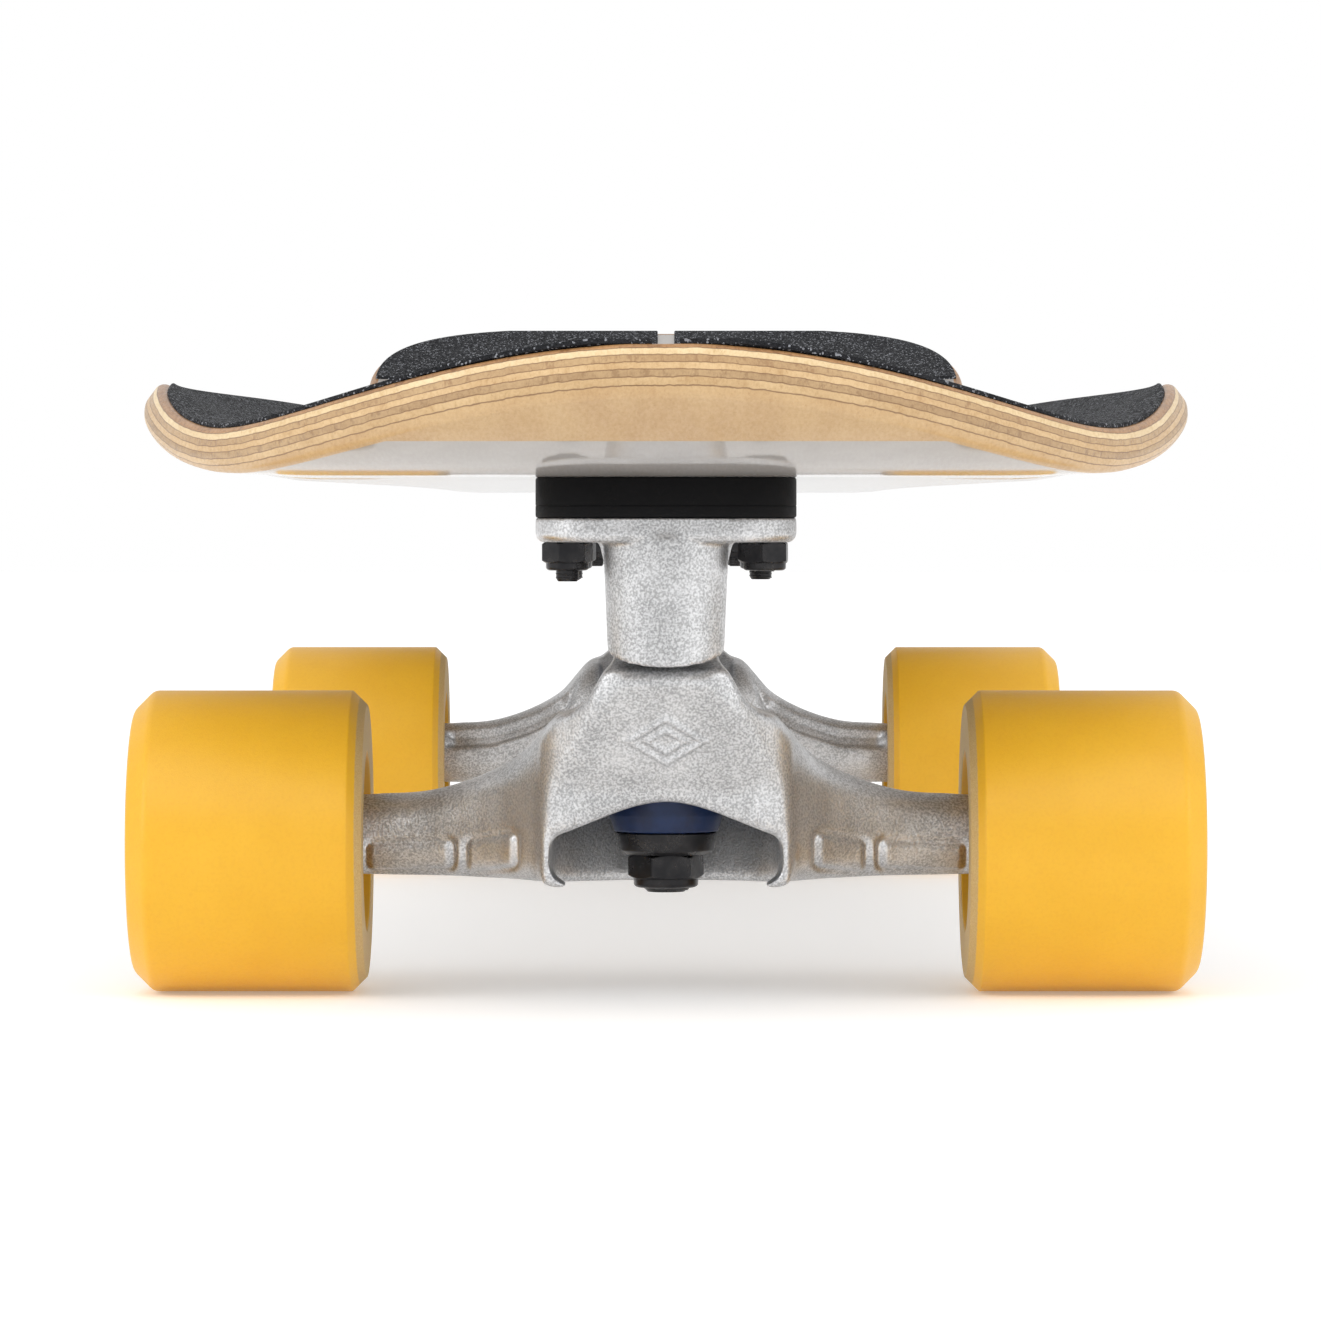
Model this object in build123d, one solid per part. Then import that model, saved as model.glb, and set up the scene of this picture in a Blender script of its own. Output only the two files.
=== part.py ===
"""Cruiser skateboard: pressed seven-ply deck, two sprung trucks, four urethane wheels.

Frame: millimetres, +Z up, wheels on Z = 0, X across the board, nose towards -Y and tail
towards +Y. The origin is on the floor under the middle of the deck.
"""
import math
import os

from build123d import *

# Deck
NOSE_Y = -418.0
TAIL_Y = 418.0
PLY_COUNT = 7
PLY_THICK = 1.3
GLUE_LINE = 0.035
DECK_THICK = PLY_COUNT * PLY_THICK
NARROW_HALF = 93.0            # half-width that the outline settles to near the tail
WIDE_EXTRA = 25.0             # added at the widest point
NOSE_ROUND = 150.0            # length of the rounded nose
TAIL_ROUND = 55.0             # length of the squared, rounded tail end
NOSE_RISE = 16.0
TAIL_SLOPE = 0.37
TAIL_BLEND = 50.0             # length over which the tail bends up
RAIL_RISE = 15.0
RAIL_WIDTH = 39.0             # strip along each rail that curves up
EDGE_ROUND = [2.6, 1.0, 0.25, 0.0, 0.0, 0.3, 1.1]   # inset of each ply's edge, bottom to top
GRIP_THICK = 0.9
GRIP_INSET = 1.9
GRIP_GAP = 5.4
GRIP_BAND_Y = (356.0, 372.0)  # bare band between the main grip and the tail pad

# Trucks: places in a truck's own frame, y = 0 at the axle and growing towards the deck's middle
FRONT_AXLE_Y = -272.0
REAR_AXLE_Y = 215.0
AXLE_Z = 32.5
AXLE_R = 3.97
AXLE_END = 111.0
RISER_Z = 102.2
DECK_Z = 110.7                # underside of the deck's flat
PLATE_Z = 97.1
PLATE_HALF = 27.3
PLATE_Y = (-56.0, 33.0)
PLATE_CORNER = 14.0
BOLT_X = 41.275 / 2
BOLT_Y = (-40.0, 13.98)
SPARE_HOLE_Y = 23.5
BOLT_R = 2.4
BOLT_HOLE_R = 2.7
BOLT_END_Z = 88.9
BOLT_HEAD_R = 4.7
KINGPIN_Y = -18.0
KINGPIN_R = 4.76
PIVOT_Y = -43.5
PIVOT_Z = 78.0
PIVOT_BALL_R = 5.5
RING_Z = (48.0, 54.0)
HANGER_HALF = 77.5
ARM_Z = 33.95
ARM_R = 8.85
RIM_Z = 71.0                  # lowest point of the pivot boss's slanting rim
RIM_TILT = math.radians(16.6)
BOSS_Y = -43.2

# Wheels, measured from the wheel's mid plane towards its outer face
WHEEL_X = 89.6
WHEEL_R = 32.5
WHEEL_HALF = 25.1
BEARING_R = 11.0
BEARING_WIDE = 7.0
BEARING_SPACE = 10.0
WASHER_THICK = 1.0

RING_CENTRE_Z = sum(RING_Z) / 2
STEER_LENGTH = math.hypot(PIVOT_Y - KINGPIN_Y, PIVOT_Z - RING_CENTRE_Z)
STEER_Y = (PIVOT_Y - KINGPIN_Y) / STEER_LENGTH
STEER_Z = (PIVOT_Z - RING_CENTRE_Z) / STEER_LENGTH


def save(node, shape):
    """Write one sub-part under its node name."""
    shape.label = node
    export_step(shape, f"parts/{node}.step")


def disc(radius, x, y, low, high):
    """Upright cylinder between two heights."""
    return Pos(x, y, low) * Cylinder(radius, high - low, align=(Align.CENTER, Align.CENTER, Align.MIN))


def cross_rod(radius, start, end, z=AXLE_Z):
    """Cylinder along X between two stations."""
    rod = Cylinder(radius, end - start, align=(Align.CENTER, Align.CENTER, Align.MIN))
    return Pos(start, 0, z) * Rot(0, 90, 0) * rod


def hexagon(across_flats, x, y, low, high, turn=0.0):
    """Upright hexagonal prism."""
    face = RegularPolygon(across_flats / math.sqrt(3), 6)
    return Pos(x, y, low) * Rot(0, 0, turn) * extrude(face, high - low)


def upright_turning(points, x=0.0, y=0.0):
    """Solid turned about an upright axis from (radius, height) corners."""
    face = Plane.XZ * make_face(Polyline(*points, close=True))
    return Pos(x, y, 0) * revolve(face, Axis.Z)


def cross_turning(points, z=AXLE_Z):
    """Solid turned about an axis along X from (station, radius) corners."""
    face = Plane.XY * make_face(Polyline(*points, close=True))
    return Pos(0, 0, z) * revolve(face, Axis.X)


def group(solids):
    """Several separate solids in one sub-part."""
    return Compound(children=list(solids))


# ---------------------------------------------------------------- deck

def body_half_width(y):
    """Half-width of the deck without its rounded ends: widest just behind the front truck."""
    wide_y = FRONT_AXLE_Y + 70
    return NARROW_HALF + WIDE_EXTRA / (1 + ((y - wide_y) / 165) ** 2)


def half_width(y):
    """Half-width of the finished outline."""
    nose = min(max((y - NOSE_Y) / NOSE_ROUND, 0), 1)
    tail = min(max((TAIL_Y - y) / TAIL_ROUND, 0), 1)
    return body_half_width(y) * math.sqrt(1 - (1 - nose) ** 2) * (1 - (1 - tail) ** 3) ** 0.25


def ease(t):
    """Smooth step from 0 to 1."""
    t = min(max(t, 0), 1)
    return t * t * (3 - 2 * t)


def lift(x, y):
    """Height of the pressed deck above its flat: nose, tail and raised rails."""
    nose_start = FRONT_AXLE_Y - 60
    height = NOSE_RISE * (max(nose_start - y, 0) / (nose_start - NOSE_Y)) ** 2
    tail = max(y - (REAR_AXLE_Y + 60), 0)
    height += TAIL_SLOPE * (tail ** 2 / (2 * TAIL_BLEND) if tail < TAIL_BLEND else tail - TAIL_BLEND / 2)
    fade = ease((y - FRONT_AXLE_Y + 100) / 140) * ease((REAR_AXLE_Y + 175 - y) / 150)
    rail = max(abs(x) - (body_half_width(y) - RAIL_WIDTH), 0) / RAIL_WIDTH
    return height + RAIL_RISE * fade * rail ** 2


def section(y, inner, outer, low, high):
    """Cross-section of one pressed layer: from inner to outer across, from low to high in depth."""
    slope_y = (lift(0, y + 0.5) - lift(0, y - 0.5))
    upright = math.sqrt(1 + slope_y ** 2)
    shared = [-half_width(y) * math.cos(math.pi * i / 16) for i in range(17)]
    stations = [inner] + [x for x in shared if inner + 2 < x < outer - 2] + [outer]
    curves = []
    for depth in (low * upright, high * upright):
        points = []
        for x in stations:
            slope_x = lift(x + 0.5, y) - lift(x - 0.5, y)
            run = math.sqrt(1 + slope_x ** 2)
            points.append(Vector(x - slope_x * depth / run, y, DECK_Z + lift(x, y) + depth / run))
        curves.append(points)
    under, over = curves
    edges = [Edge.make_spline(under), Edge.make_line(under[-1], over[-1]),
             Edge.make_spline(over[::-1]), Edge.make_line(over[0], under[0])]
    return Face(Wire(edges))


def layer(low, high, inset, start=NOSE_Y, end=TAIL_Y, gap=None):
    """Pressed layer between two depths, whole or only the half on the +X side of a gap.

    All layers share the same stations along the deck, so that neighbours follow each other.
    """
    steps = 48
    low_y = max(start, NOSE_Y + inset)
    high_y = min(end, TAIL_Y - inset)
    first = low_y if start > NOSE_Y else low_y + 0.15
    last = high_y if end < TAIL_Y else high_y - 0.15
    shared = [TAIL_Y * -math.cos(math.pi * i / steps) for i in range(1, steps)]
    ys = [first] + [y for y in shared if first + 0.5 < y < last - 0.5] + [last]
    sections = []
    for y in ys:
        outer = half_width(y) - inset
        inner = -outer if gap is None else gap
        sections.append(section(y, inner, outer, low, high))
    return loft(sections, ruled=True)


def truck_places():
    """Name, axle position and half turn of each truck."""
    return (("front", FRONT_AXLE_Y, 0), ("rear", REAR_AXLE_Y, 180))


def placed(shape, axle_y, turn):
    """A truck piece moved from the truck's frame to the board's."""
    return Pos(0, axle_y, 0) * Rot(0, 0, turn) * shape


def deck_holes():
    """Bolt holes, countersinks and the wheel-well reliefs, as cutting solids."""
    holes = []
    sinks = []
    wells = []
    top = DECK_Z + DECK_THICK + GRIP_THICK
    for _, axle_y, turn in truck_places():
        for x in (-BOLT_X, BOLT_X):
            for y in BOLT_Y:
                holes.append(placed(disc(BOLT_HOLE_R, x, y, 60, top + 5), axle_y, turn))
                sink = upright_turning(((0, top - 2.8), (BOLT_R + 0.1, top - 2.8), (BOLT_HEAD_R - 0.2, top - 0.35),
                                        (BOLT_HEAD_R - 0.2, top + 1), (0, top + 1)), x, y)
                sinks.append(placed(sink, axle_y, turn))
        for side in (-1, 1):
            reach = cross_rod(34, 62, 120, z=DECK_Z + 0.8 - 34)
            wells.append(placed(reach if side > 0 else mirror(reach, Plane.YZ), axle_y, turn))
    return holes, sinks, wells


def build_deck():
    """Seven plies, and the grip in two halves with a bare band before the tail pad."""
    holes, sinks, wells = deck_holes()
    for k in range(PLY_COUNT):
        under = k * PLY_THICK + (GLUE_LINE if k > 0 else 0)
        ply = layer(under, (k + 1) * PLY_THICK - GLUE_LINE, EDGE_ROUND[k]) - holes
        if k == 0:
            ply = ply - wells
        if k >= PLY_COUNT - 3:
            ply = ply - sinks
        save(f"deck_ply_{k + 1}", ply)
    for name, start, end in (("grip_main", NOSE_Y, GRIP_BAND_Y[0]), ("grip_tail", GRIP_BAND_Y[1], TAIL_Y)):
        half = layer(DECK_THICK, DECK_THICK + GRIP_THICK, GRIP_INSET, start, end, GRIP_GAP / 2)
        save(f"{name}_left", half - sinks)
        save(f"{name}_right", mirror(half, Plane.YZ) - sinks)


# ---------------------------------------------------------------- truck: fixed pieces

def plate_outline():
    """Rounded rectangle shared by the baseplate and the riser."""
    low, high = PLATE_Y
    return Pos(0, (low + high) / 2) * RectangleRounded(2 * PLATE_HALF, high - low, PLATE_CORNER)


def plate_bores(with_spare):
    """Clearance holes for the mounting bolts."""
    rows = list(BOLT_Y) + ([SPARE_HOLE_Y] if with_spare else [])
    return [disc(BOLT_HOLE_R, x, y, 60, 130) for x in (-BOLT_X, BOLT_X) for y in rows]


def riser_pad():
    """Rubber pad between the baseplate and the deck."""
    pad = Pos(0, 0, RISER_Z) * extrude(plate_outline(), DECK_Z - RISER_Z)
    return pad - plate_bores(False)


def baseplate():
    """Cast plate with the pivot boss and the kingpin boss under it."""
    plate = Pos(0, 0, PLATE_Z) * extrude(plate_outline(), RISER_Z - PLATE_Z)
    plate = chamfer(plate.edges().group_by(Axis.Z)[0], 1.2)
    boss = upright_turning(((0, 60), (0, PLATE_Z + 1), (13.2, PLATE_Z + 1), (11.6, 60)), 0, BOSS_Y)
    boss = boss - rim_space()
    tower = upright_turning(((0, 70.5), (0, PLATE_Z + 1), (14.5, PLATE_Z + 1), (12.6, 90), (11, 70.5)),
                            0, KINGPIN_Y)
    web = Pos(0, (BOSS_Y + KINGPIN_Y) / 2, 90) * Box(12, 20, 16)
    rear_rib = extrude(Plane.YZ * make_face(Polyline((KINGPIN_Y, 76), (22, PLATE_Z + 1),
                                                     (KINGPIN_Y, PLATE_Z + 1), close=True)), 3, both=True)
    body = plate + boss + tower + web + rear_rib
    body = body - cup_seat() - disc(KINGPIN_R + 0.01, 0, KINGPIN_Y, 60, 110)
    body = body - hexagon(14.5, 0, KINGPIN_Y, RISER_Z - 6, RISER_Z + 1)
    return body - plate_bores(True)


def rim_space():
    """Half space under the slanting rim of the pivot boss."""
    block = Box(60, 60, 30, align=(Align.CENTER, Align.CENTER, Align.MAX))
    return Pos(0, BOSS_Y - 12, RIM_Z) * Rot(math.degrees(RIM_TILT), 0, 0) * block


def along_steer(shape):
    """Move a shape from its own Z axis, with its origin at the pivot, onto the steering axis."""
    tilt = math.degrees(math.atan2(-STEER_Y, STEER_Z))
    return Pos(0, PIVOT_Y, PIVOT_Z) * Rot(tilt, 0, 0) * shape


def cup_seat():
    """Bore in the pivot boss that holds the plastic cup."""
    return along_steer(Pos(0, 0, -20) * Cylinder(7.5, 26.5, align=(Align.CENTER, Align.CENTER, Align.MIN)))


def pivot_cup():
    """Plastic cup round the hanger's pivot ball."""
    cup = Pos(0, 0, -3.4) * Cylinder(7.5, 9.9, align=(Align.CENTER, Align.CENTER, Align.MIN))
    cup = cup - Sphere(PIVOT_BALL_R + 0.08)
    mouth = Cone(PIVOT_BALL_R + 1.6, PIVOT_BALL_R + 0.08, 3.6, align=(Align.CENTER, Align.CENTER, Align.MIN))
    cup = cup - Pos(0, 0, -3.6) * mouth
    return along_steer(cup) - rim_space()


def kingpin():
    """Bolt with a hexagonal head sunk in the baseplate."""
    head = hexagon(14.3, 0, KINGPIN_Y, RISER_Z - 6, RISER_Z - 0.4)
    shank = disc(KINGPIN_R, 0, KINGPIN_Y, 22.6, RISER_Z - 1)
    return head + chamfer(shank.edges().group_by(Axis.Z)[0], 0.8)


def kingpin_nut():
    """Locking nut under the lower cup washer."""
    nut = hexagon(14.29, 0, KINGPIN_Y, 25.6, 30.6, turn=9)
    crown = upright_turning(((0, 23.5), (5.8, 23.5), (6.9, 24.6), (6.9, 25.6), (0, 25.6)), 0, KINGPIN_Y)
    return nut + crown - disc(KINGPIN_R, 0, KINGPIN_Y, 20, 40)


def cup_washers():
    """Pressed steel cups above the upper bushing and below the lower one."""
    lower = upright_turning(((KINGPIN_R + 0.2, 30.6), (8.6, 30.6), (10.1, 31.5), (11, 35.3), (9.9, 35.3),
                             (9.4, 32.2), (KINGPIN_R + 0.2, 32.2)), 0, KINGPIN_Y)
    upper = upright_turning(((KINGPIN_R + 0.2, 70.5), (9.6, 70.5), (11.1, 69.4), (11.3, 66.4), (10.5, 66.4),
                             (10.2, 68.9), (KINGPIN_R + 0.2, 68.9)), 0, KINGPIN_Y)
    return group([lower, upper])


def boardside_bushing():
    """Barrel bushing between the hanger's ring and the baseplate."""
    return upright_turning(((KINGPIN_R + 0.3, 54.1), (12.2, 54.1), (12.6, 58), (12.6, 62), (11.8, 66.2),
                            (10.1, 66.5), (10.0, 68.8), (KINGPIN_R + 0.3, 68.8)), 0, KINGPIN_Y)


def roadside_bushing():
    """Cone bushing under the hanger's ring."""
    return upright_turning(((KINGPIN_R + 0.3, 32.3), (9.2, 32.3), (9.7, 35.2), (11.1, 35.5), (12.2, 39),
                            (12.2, 47.9), (KINGPIN_R + 0.3, 47.9)), 0, KINGPIN_Y)


def mounting_bolts():
    """Four countersunk bolts with cross recesses, flush with the grip."""
    top = DECK_Z + DECK_THICK + GRIP_THICK - 0.1
    bolts = []
    for x in (-BOLT_X, BOLT_X):
        for y in BOLT_Y:
            end = BOLT_END_Z if x < 0 or y > 0 else BOLT_END_Z + 2.1
            bolt = upright_turning(((0, end), (BOLT_R - 0.4, end), (BOLT_R, end + 0.6), (BOLT_R, top - 2.6),
                                    (BOLT_HEAD_R - 0.4, top - 0.2), (BOLT_HEAD_R - 0.4, top), (0, top)), x, y)
            for turn in (0, 90):
                bolt = bolt - Pos(x, y, top) * Rot(0, 0, turn) * Box(5.0, 1.0, 3.0)
            bolts.append(bolt)
    return group(bolts)


def mounting_nuts():
    """Four locking nuts against the baseplate."""
    nuts = []
    for x in (-BOLT_X, BOLT_X):
        for y in BOLT_Y:
            nut = hexagon(9.5, x, y, PLATE_Z - 4.2, PLATE_Z, turn=12 if x < 0 else 25)
            collar = upright_turning(((0, PLATE_Z - 5.9), (3.6, PLATE_Z - 5.9), (4.5, PLATE_Z - 5.0),
                                      (4.5, PLATE_Z - 4.2), (0, PLATE_Z - 4.2)), x, y)
            nuts.append(nut + collar - disc(BOLT_R, x, y, 80, 110))
    return group(nuts)


# ---------------------------------------------------------------- truck: steering pieces

def hanger_front_outline():
    """Silhouette seen along the board: shoulders, saddle and straight arm bottoms."""
    shoulder = Polyline((0, 78), (10.6, 78), (11.0, 72.2), (13.4, 69.6), (16.4, 64.1), (19.5, 61.5),
                        (22.4, 61.0))
    saddle = Spline((22.4, 61.0), (26.0, 57.4), (30.5, 51.8), (39.5, 46.9), (50.7, 43.2), (60.0, 42.7))
    base = Polyline((60.0, 42.7), (60.0, 25.2), (40.0, 25.2), (25.0, 24.2), (0, 24.2), (0, 78))
    face = make_face(shoulder + saddle + base)
    return face + mirror(face, Plane.YZ)


def hanger_arm():
    """Arm on the +X side, swelling from the round end at the wheel to the shield."""
    round_end = ARM_R + 0.15
    stations = ((19.5, -39.6, 61.0, 24.6), (22.4, -38.2, 60.6, 24.6), (26.0, -34.5, 57.4, 24.6),
                (30.5, -28.0, 52.0, 24.7), (35.0, -22.0, 49.2, 24.8), (40.0, -17.3, 46.8, 24.9),
                (45.0, -13.9, 45.0, 25.0), (50.5, -11.3, 43.6, 25.0), (56.0, -9.8, 43.0, 25.0),
                (62.0, -round_end, ARM_Z + round_end, ARM_Z - round_end))
    sections = []
    for x, front, top, bottom in stations:
        reach, rise = (round_end - front) / 2, (top - bottom) / 2
        power = 2 / (2 + 1.1 * (62 - x) / 40)
        points = []
        for i in range(20):
            turn = math.tau * i / 20
            y = (front + round_end) / 2 + reach * math.copysign(abs(math.cos(turn)) ** power, math.cos(turn))
            z = (top + bottom) / 2 + rise * math.copysign(abs(math.sin(turn)) ** power, math.sin(turn))
            points.append(Vector(x, y, z))
        sections.append(Face(Wire([Edge.make_spline(points, periodic=True)])))
    return loft(sections, ruled=True)


def hanger():
    """Cast hanger: pivot neck, front shield, kingpin ring, and arms round the axle."""
    front = extrude(Plane.XZ * hanger_front_outline(), 80, both=True)
    rim_slope = math.tan(RIM_TILT)
    rim_gap = 1.8
    neck_top = RIM_Z - rim_gap + (-31 - (BOSS_Y - 12)) * rim_slope
    neck_front = RIM_Z - rim_gap + (-50 - (BOSS_Y - 12)) * rim_slope
    side = Polyline((9.4, 24.2), (9.4, 41), (4, 54), (-8, 60), (-26, 70), (-31, neck_top), (-50, neck_front),
                    (-51.5, 68), (-38.5, 45), (-36.5, 24.2), close=True)
    side = extrude(Plane.YZ * make_face(side), 90, both=True)
    plan = Polyline((0, 9.4), (24, 9.4), (27, -34), (24, -39), (15, -48), (7, -52), (0, -52), close=True)
    plan = make_face(plan)
    plan = extrude(plan + mirror(plan, Plane.YZ), 100)
    arm = hanger_arm()
    end = chamfer(cross_rod(ARM_R, 58, HANGER_HALF, z=ARM_Z).edges().group_by(Axis.X)[-1], 1.0)
    body = (front & side & plan) + arm + mirror(arm, Plane.YZ) + end + mirror(end, Plane.YZ)
    body = body - disc(14.2, 0, KINGPIN_Y, RING_Z[1], 62) - disc(16.6, 0, KINGPIN_Y, 62, 90)
    body = body - disc(7.6, 0, KINGPIN_Y, 40, 60) - bowl() - mouth()
    pin = Pos(0, 0, -12) * Cone(8.4, 4.7, 9, align=(Align.CENTER, Align.CENTER, Align.MIN))
    pin = pin + Pos(0, 0, -5) * Cylinder(4.7, 5, align=(Align.CENTER, Align.CENTER, Align.MIN))
    pin = along_steer(pin + Sphere(PIVOT_BALL_R))
    body = body + (pin - disc(15.6, 0, KINGPIN_Y, 50, 100))
    return body - cross_rod(AXLE_R, -90, 90)


def bowl():
    """Oval pocket under the ring, where the lower bushing and the kingpin nut hang."""
    oval = Pos(0, KINGPIN_Y - 1.3) * Ellipse(23.8, 13.9)
    return Pos(0, 0, 10) * extrude(oval, RING_Z[0] - 10)


def mouth():
    """Low arch through the front shield into the pocket."""
    arch = Spline((-24.2, 34.9), (-14.7, 38.6), (0, 42.5), (14.7, 38.6), (24.2, 34.9))
    sides = Polyline((24.2, 34.9), (24.4, 27.7), (23.2, 26.0), (19.5, 24.6), (19.5, 10), (-19.5, 10),
                     (-19.5, 24.6), (-23.2, 26.0), (-24.4, 27.7), (-24.2, 34.9))
    face = Plane.XZ * make_face(arch + sides)
    return Pos(0, KINGPIN_Y - 1.2, 0) * extrude(face, 60)


def axle():
    """Steel axle through the hanger."""
    rod = cross_rod(AXLE_R, -AXLE_END, AXLE_END)
    return chamfer(rod.edges().filter_by(GeomType.CIRCLE), 0.7)


def both_sides(make):
    """A piece on the +X end of the axle and its mirror image."""
    solids = []
    for piece in make():
        solids += [piece, mirror(piece, Plane.YZ)]
    return group(solids)


def axle_ring(inner, outer, start, end):
    """Ring round the axle between two stations."""
    return cross_turning(((start, inner), (end, inner), (end, outer), (start, outer)))


BEARING_IN = HANGER_HALF + WASHER_THICK
SPACER_IN = BEARING_IN + BEARING_WIDE
BEARING_OUT = SPACER_IN + BEARING_SPACE
WASHER_OUT = BEARING_OUT + BEARING_WIDE
NUT_IN = WASHER_OUT + WASHER_THICK


def speed_washers():
    """Thin washers inside and outside each wheel's bearings."""
    return [axle_ring(AXLE_R, 5.6, start, start + WASHER_THICK) for start in (HANGER_HALF, WASHER_OUT)]


def bearing_spacers():
    """Tube between the two bearings of a wheel."""
    return [axle_ring(AXLE_R, 5.2, SPACER_IN, BEARING_OUT)]


def axle_nuts():
    """Locking nut at each end of the axle."""
    nut = Rot(0, 90, 0) * extrude(RegularPolygon(12.7 / math.sqrt(3), 6), 5)
    collar = cross_turning(((NUT_IN + 5, 0), (NUT_IN + 5, 6.1), (NUT_IN + 6, 6.1), (NUT_IN + 6.9, 5.2),
                            (NUT_IN + 6.9, 0)))
    nut = Pos(NUT_IN, 0, AXLE_Z) * nut + collar
    return [nut - cross_rod(AXLE_R, 90, 120)]


def ball_groove(middle):
    """Ring-shaped groove that the balls run in."""
    return Pos(middle, 0, AXLE_Z) * Rot(0, 90, 0) * Torus(7.5, 2.05)


def bearing_middles():
    """Mid planes of a wheel's two bearings."""
    return (BEARING_IN + BEARING_WIDE / 2, BEARING_OUT + BEARING_WIDE / 2)


def inner_races():
    """Bearing inner races, clamped on the axle."""
    half = BEARING_WIDE / 2
    return [axle_ring(AXLE_R, 6.0, m - half, m + half) - ball_groove(m) for m in bearing_middles()]


# ---------------------------------------------------------------- wheels

def wheel():
    """Cast urethane wheel with a bearing seat in each side."""
    outer = WHEEL_X + WHEEL_HALF
    inner = WHEEL_X - WHEEL_HALF
    profile = ((inner, 19.5), (inner, WHEEL_R - 3), (inner + 3, WHEEL_R), (outer - 4.4, WHEEL_R),
               (outer - 1.3, WHEEL_R - 1.3), (outer, WHEEL_R - 4.4), (outer, 19.5), (outer - 10.5, 16),
               (WASHER_OUT + 0.8, BEARING_R + 0.6), (WASHER_OUT, BEARING_R), (BEARING_OUT, BEARING_R),
               (BEARING_OUT, 9.6), (SPACER_IN, 9.6), (SPACER_IN, BEARING_R), (BEARING_IN, BEARING_R),
               (BEARING_IN - 0.8, BEARING_R + 0.6), (inner + 12.4, 16))
    return cross_turning(profile)


def outer_races():
    """Bearing outer races, pressed in the wheel."""
    half = BEARING_WIDE / 2
    return group([axle_ring(9.0, BEARING_R, m - half, m + half) - ball_groove(m) for m in bearing_middles()])


def bearing_balls():
    """Seven balls in each bearing."""
    balls = []
    for middle in bearing_middles():
        for i in range(7):
            turn = math.tau * i / 7
            place = Pos(middle, 7.5 * math.cos(turn), AXLE_Z + 7.5 * math.sin(turn))
            balls.append(place * Sphere(1.95))
    return group(balls)


def bearing_shields():
    """Thin shield on both faces of each bearing, clipped in the outer race."""
    edge = BEARING_WIDE / 2 - 0.3
    shields = []
    for middle in bearing_middles():
        for side in (-1, 1):
            place = middle + side * edge
            shields.append(axle_ring(6.2, 8.98, place - 0.2, place + 0.2))
    return group(shields)


def build_trucks():
    """Both trucks: the rear one is the front one turned half round."""
    fixed = (riser_pad, baseplate, pivot_cup, kingpin, kingpin_nut, cup_washers, boardside_bushing,
             roadside_bushing, mounting_bolts, mounting_nuts, hanger, axle)
    paired = (speed_washers, bearing_spacers, axle_nuts, inner_races)
    for name, axle_y, turn in truck_places():
        for make in fixed:
            save(f"{name}_{make.__name__}", placed(make(), axle_y, turn))
        for make in paired:
            save(f"{name}_{make.__name__}", placed(both_sides(make), axle_y, turn))
        for side, word in ((1, "left"), (-1, "right")):
            for make in (wheel, outer_races, bearing_balls, bearing_shields):
                piece = make() if side > 0 else mirror(make(), Plane.YZ)
                save(f"{name}_{word}_{make.__name__}", Pos(0, axle_y, 0) * piece)


os.makedirs("parts", exist_ok=True)
build_deck()
build_trucks()
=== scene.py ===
import math
import bmesh
import bpy
import numpy as np
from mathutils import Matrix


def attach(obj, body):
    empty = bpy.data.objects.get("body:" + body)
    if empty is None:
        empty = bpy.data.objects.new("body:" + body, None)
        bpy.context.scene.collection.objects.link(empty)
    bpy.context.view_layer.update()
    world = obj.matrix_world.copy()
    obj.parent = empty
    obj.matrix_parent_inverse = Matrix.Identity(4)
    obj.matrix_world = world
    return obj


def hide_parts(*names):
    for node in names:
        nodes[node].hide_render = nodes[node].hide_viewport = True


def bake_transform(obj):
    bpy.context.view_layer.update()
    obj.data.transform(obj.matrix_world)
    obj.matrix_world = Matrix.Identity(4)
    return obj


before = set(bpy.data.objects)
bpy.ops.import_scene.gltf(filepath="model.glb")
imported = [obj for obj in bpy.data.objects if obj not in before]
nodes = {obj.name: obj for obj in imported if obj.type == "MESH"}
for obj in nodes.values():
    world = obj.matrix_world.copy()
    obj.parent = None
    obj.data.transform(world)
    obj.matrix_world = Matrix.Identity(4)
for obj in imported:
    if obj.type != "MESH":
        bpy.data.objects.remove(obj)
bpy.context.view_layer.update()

# Driving dimensions in millimetres, the same as in the CAD: y runs from nose to tail, z up from the floor.
DECK_END = 418                   # the outline runs from -DECK_END to DECK_END
NARROW_HALF, WIDE_EXTRA = 93, 25.0
NOSE_ROUND, TAIL_ROUND = 150, 55
NOSE_RISE, TAIL_SLOPE, TAIL_BLEND = 16, 0.37, 50
RAIL_RISE, RAIL_WIDTH = 15, 39
PLY_THICK, DECK_THICK, DECK_Z = 1.3, 9.1, 110.7
GRIP_INSET, GRIP_HALF_GAP = 1.9, 2.7
BAND_START, BAND_END = 356, 372  # bare band between the main grip and the tail pads
FRONT_AXLE_Y, REAR_AXLE_Y, AXLE_Z = -272, 215, 32.5
BOLT_X, BOLT_Y = 20.6375, (-40, 13.98)
PLATE_Z, KINGPIN_Y = 97.1, -18.0
WHEEL_X = 0.0896                 # in metres, like the places of the bodies
TRUCKS = (("front", FRONT_AXLE_Y / 1000, 1), ("rear", REAR_AXLE_Y / 1000, -1))


# ================================================================ laminated deck
# Seven maple veneers pressed and glued into one deck, with rounded rails.
# The faces are lacquered white, coloured a darker warm grey as painted shade, and the edge and the nose are
# left as sanded wood.

def ease(t):
    """Smooth step from 0 to 1."""
    t = np.clip(t, 0, 1)
    return t * t * (3 - 2 * t)


def body_half_width(y):
    """Half-width of the board before its ends are rounded off."""
    return NARROW_HALF + WIDE_EXTRA / (1 + ((y + 202) / 165) ** 2)


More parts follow.
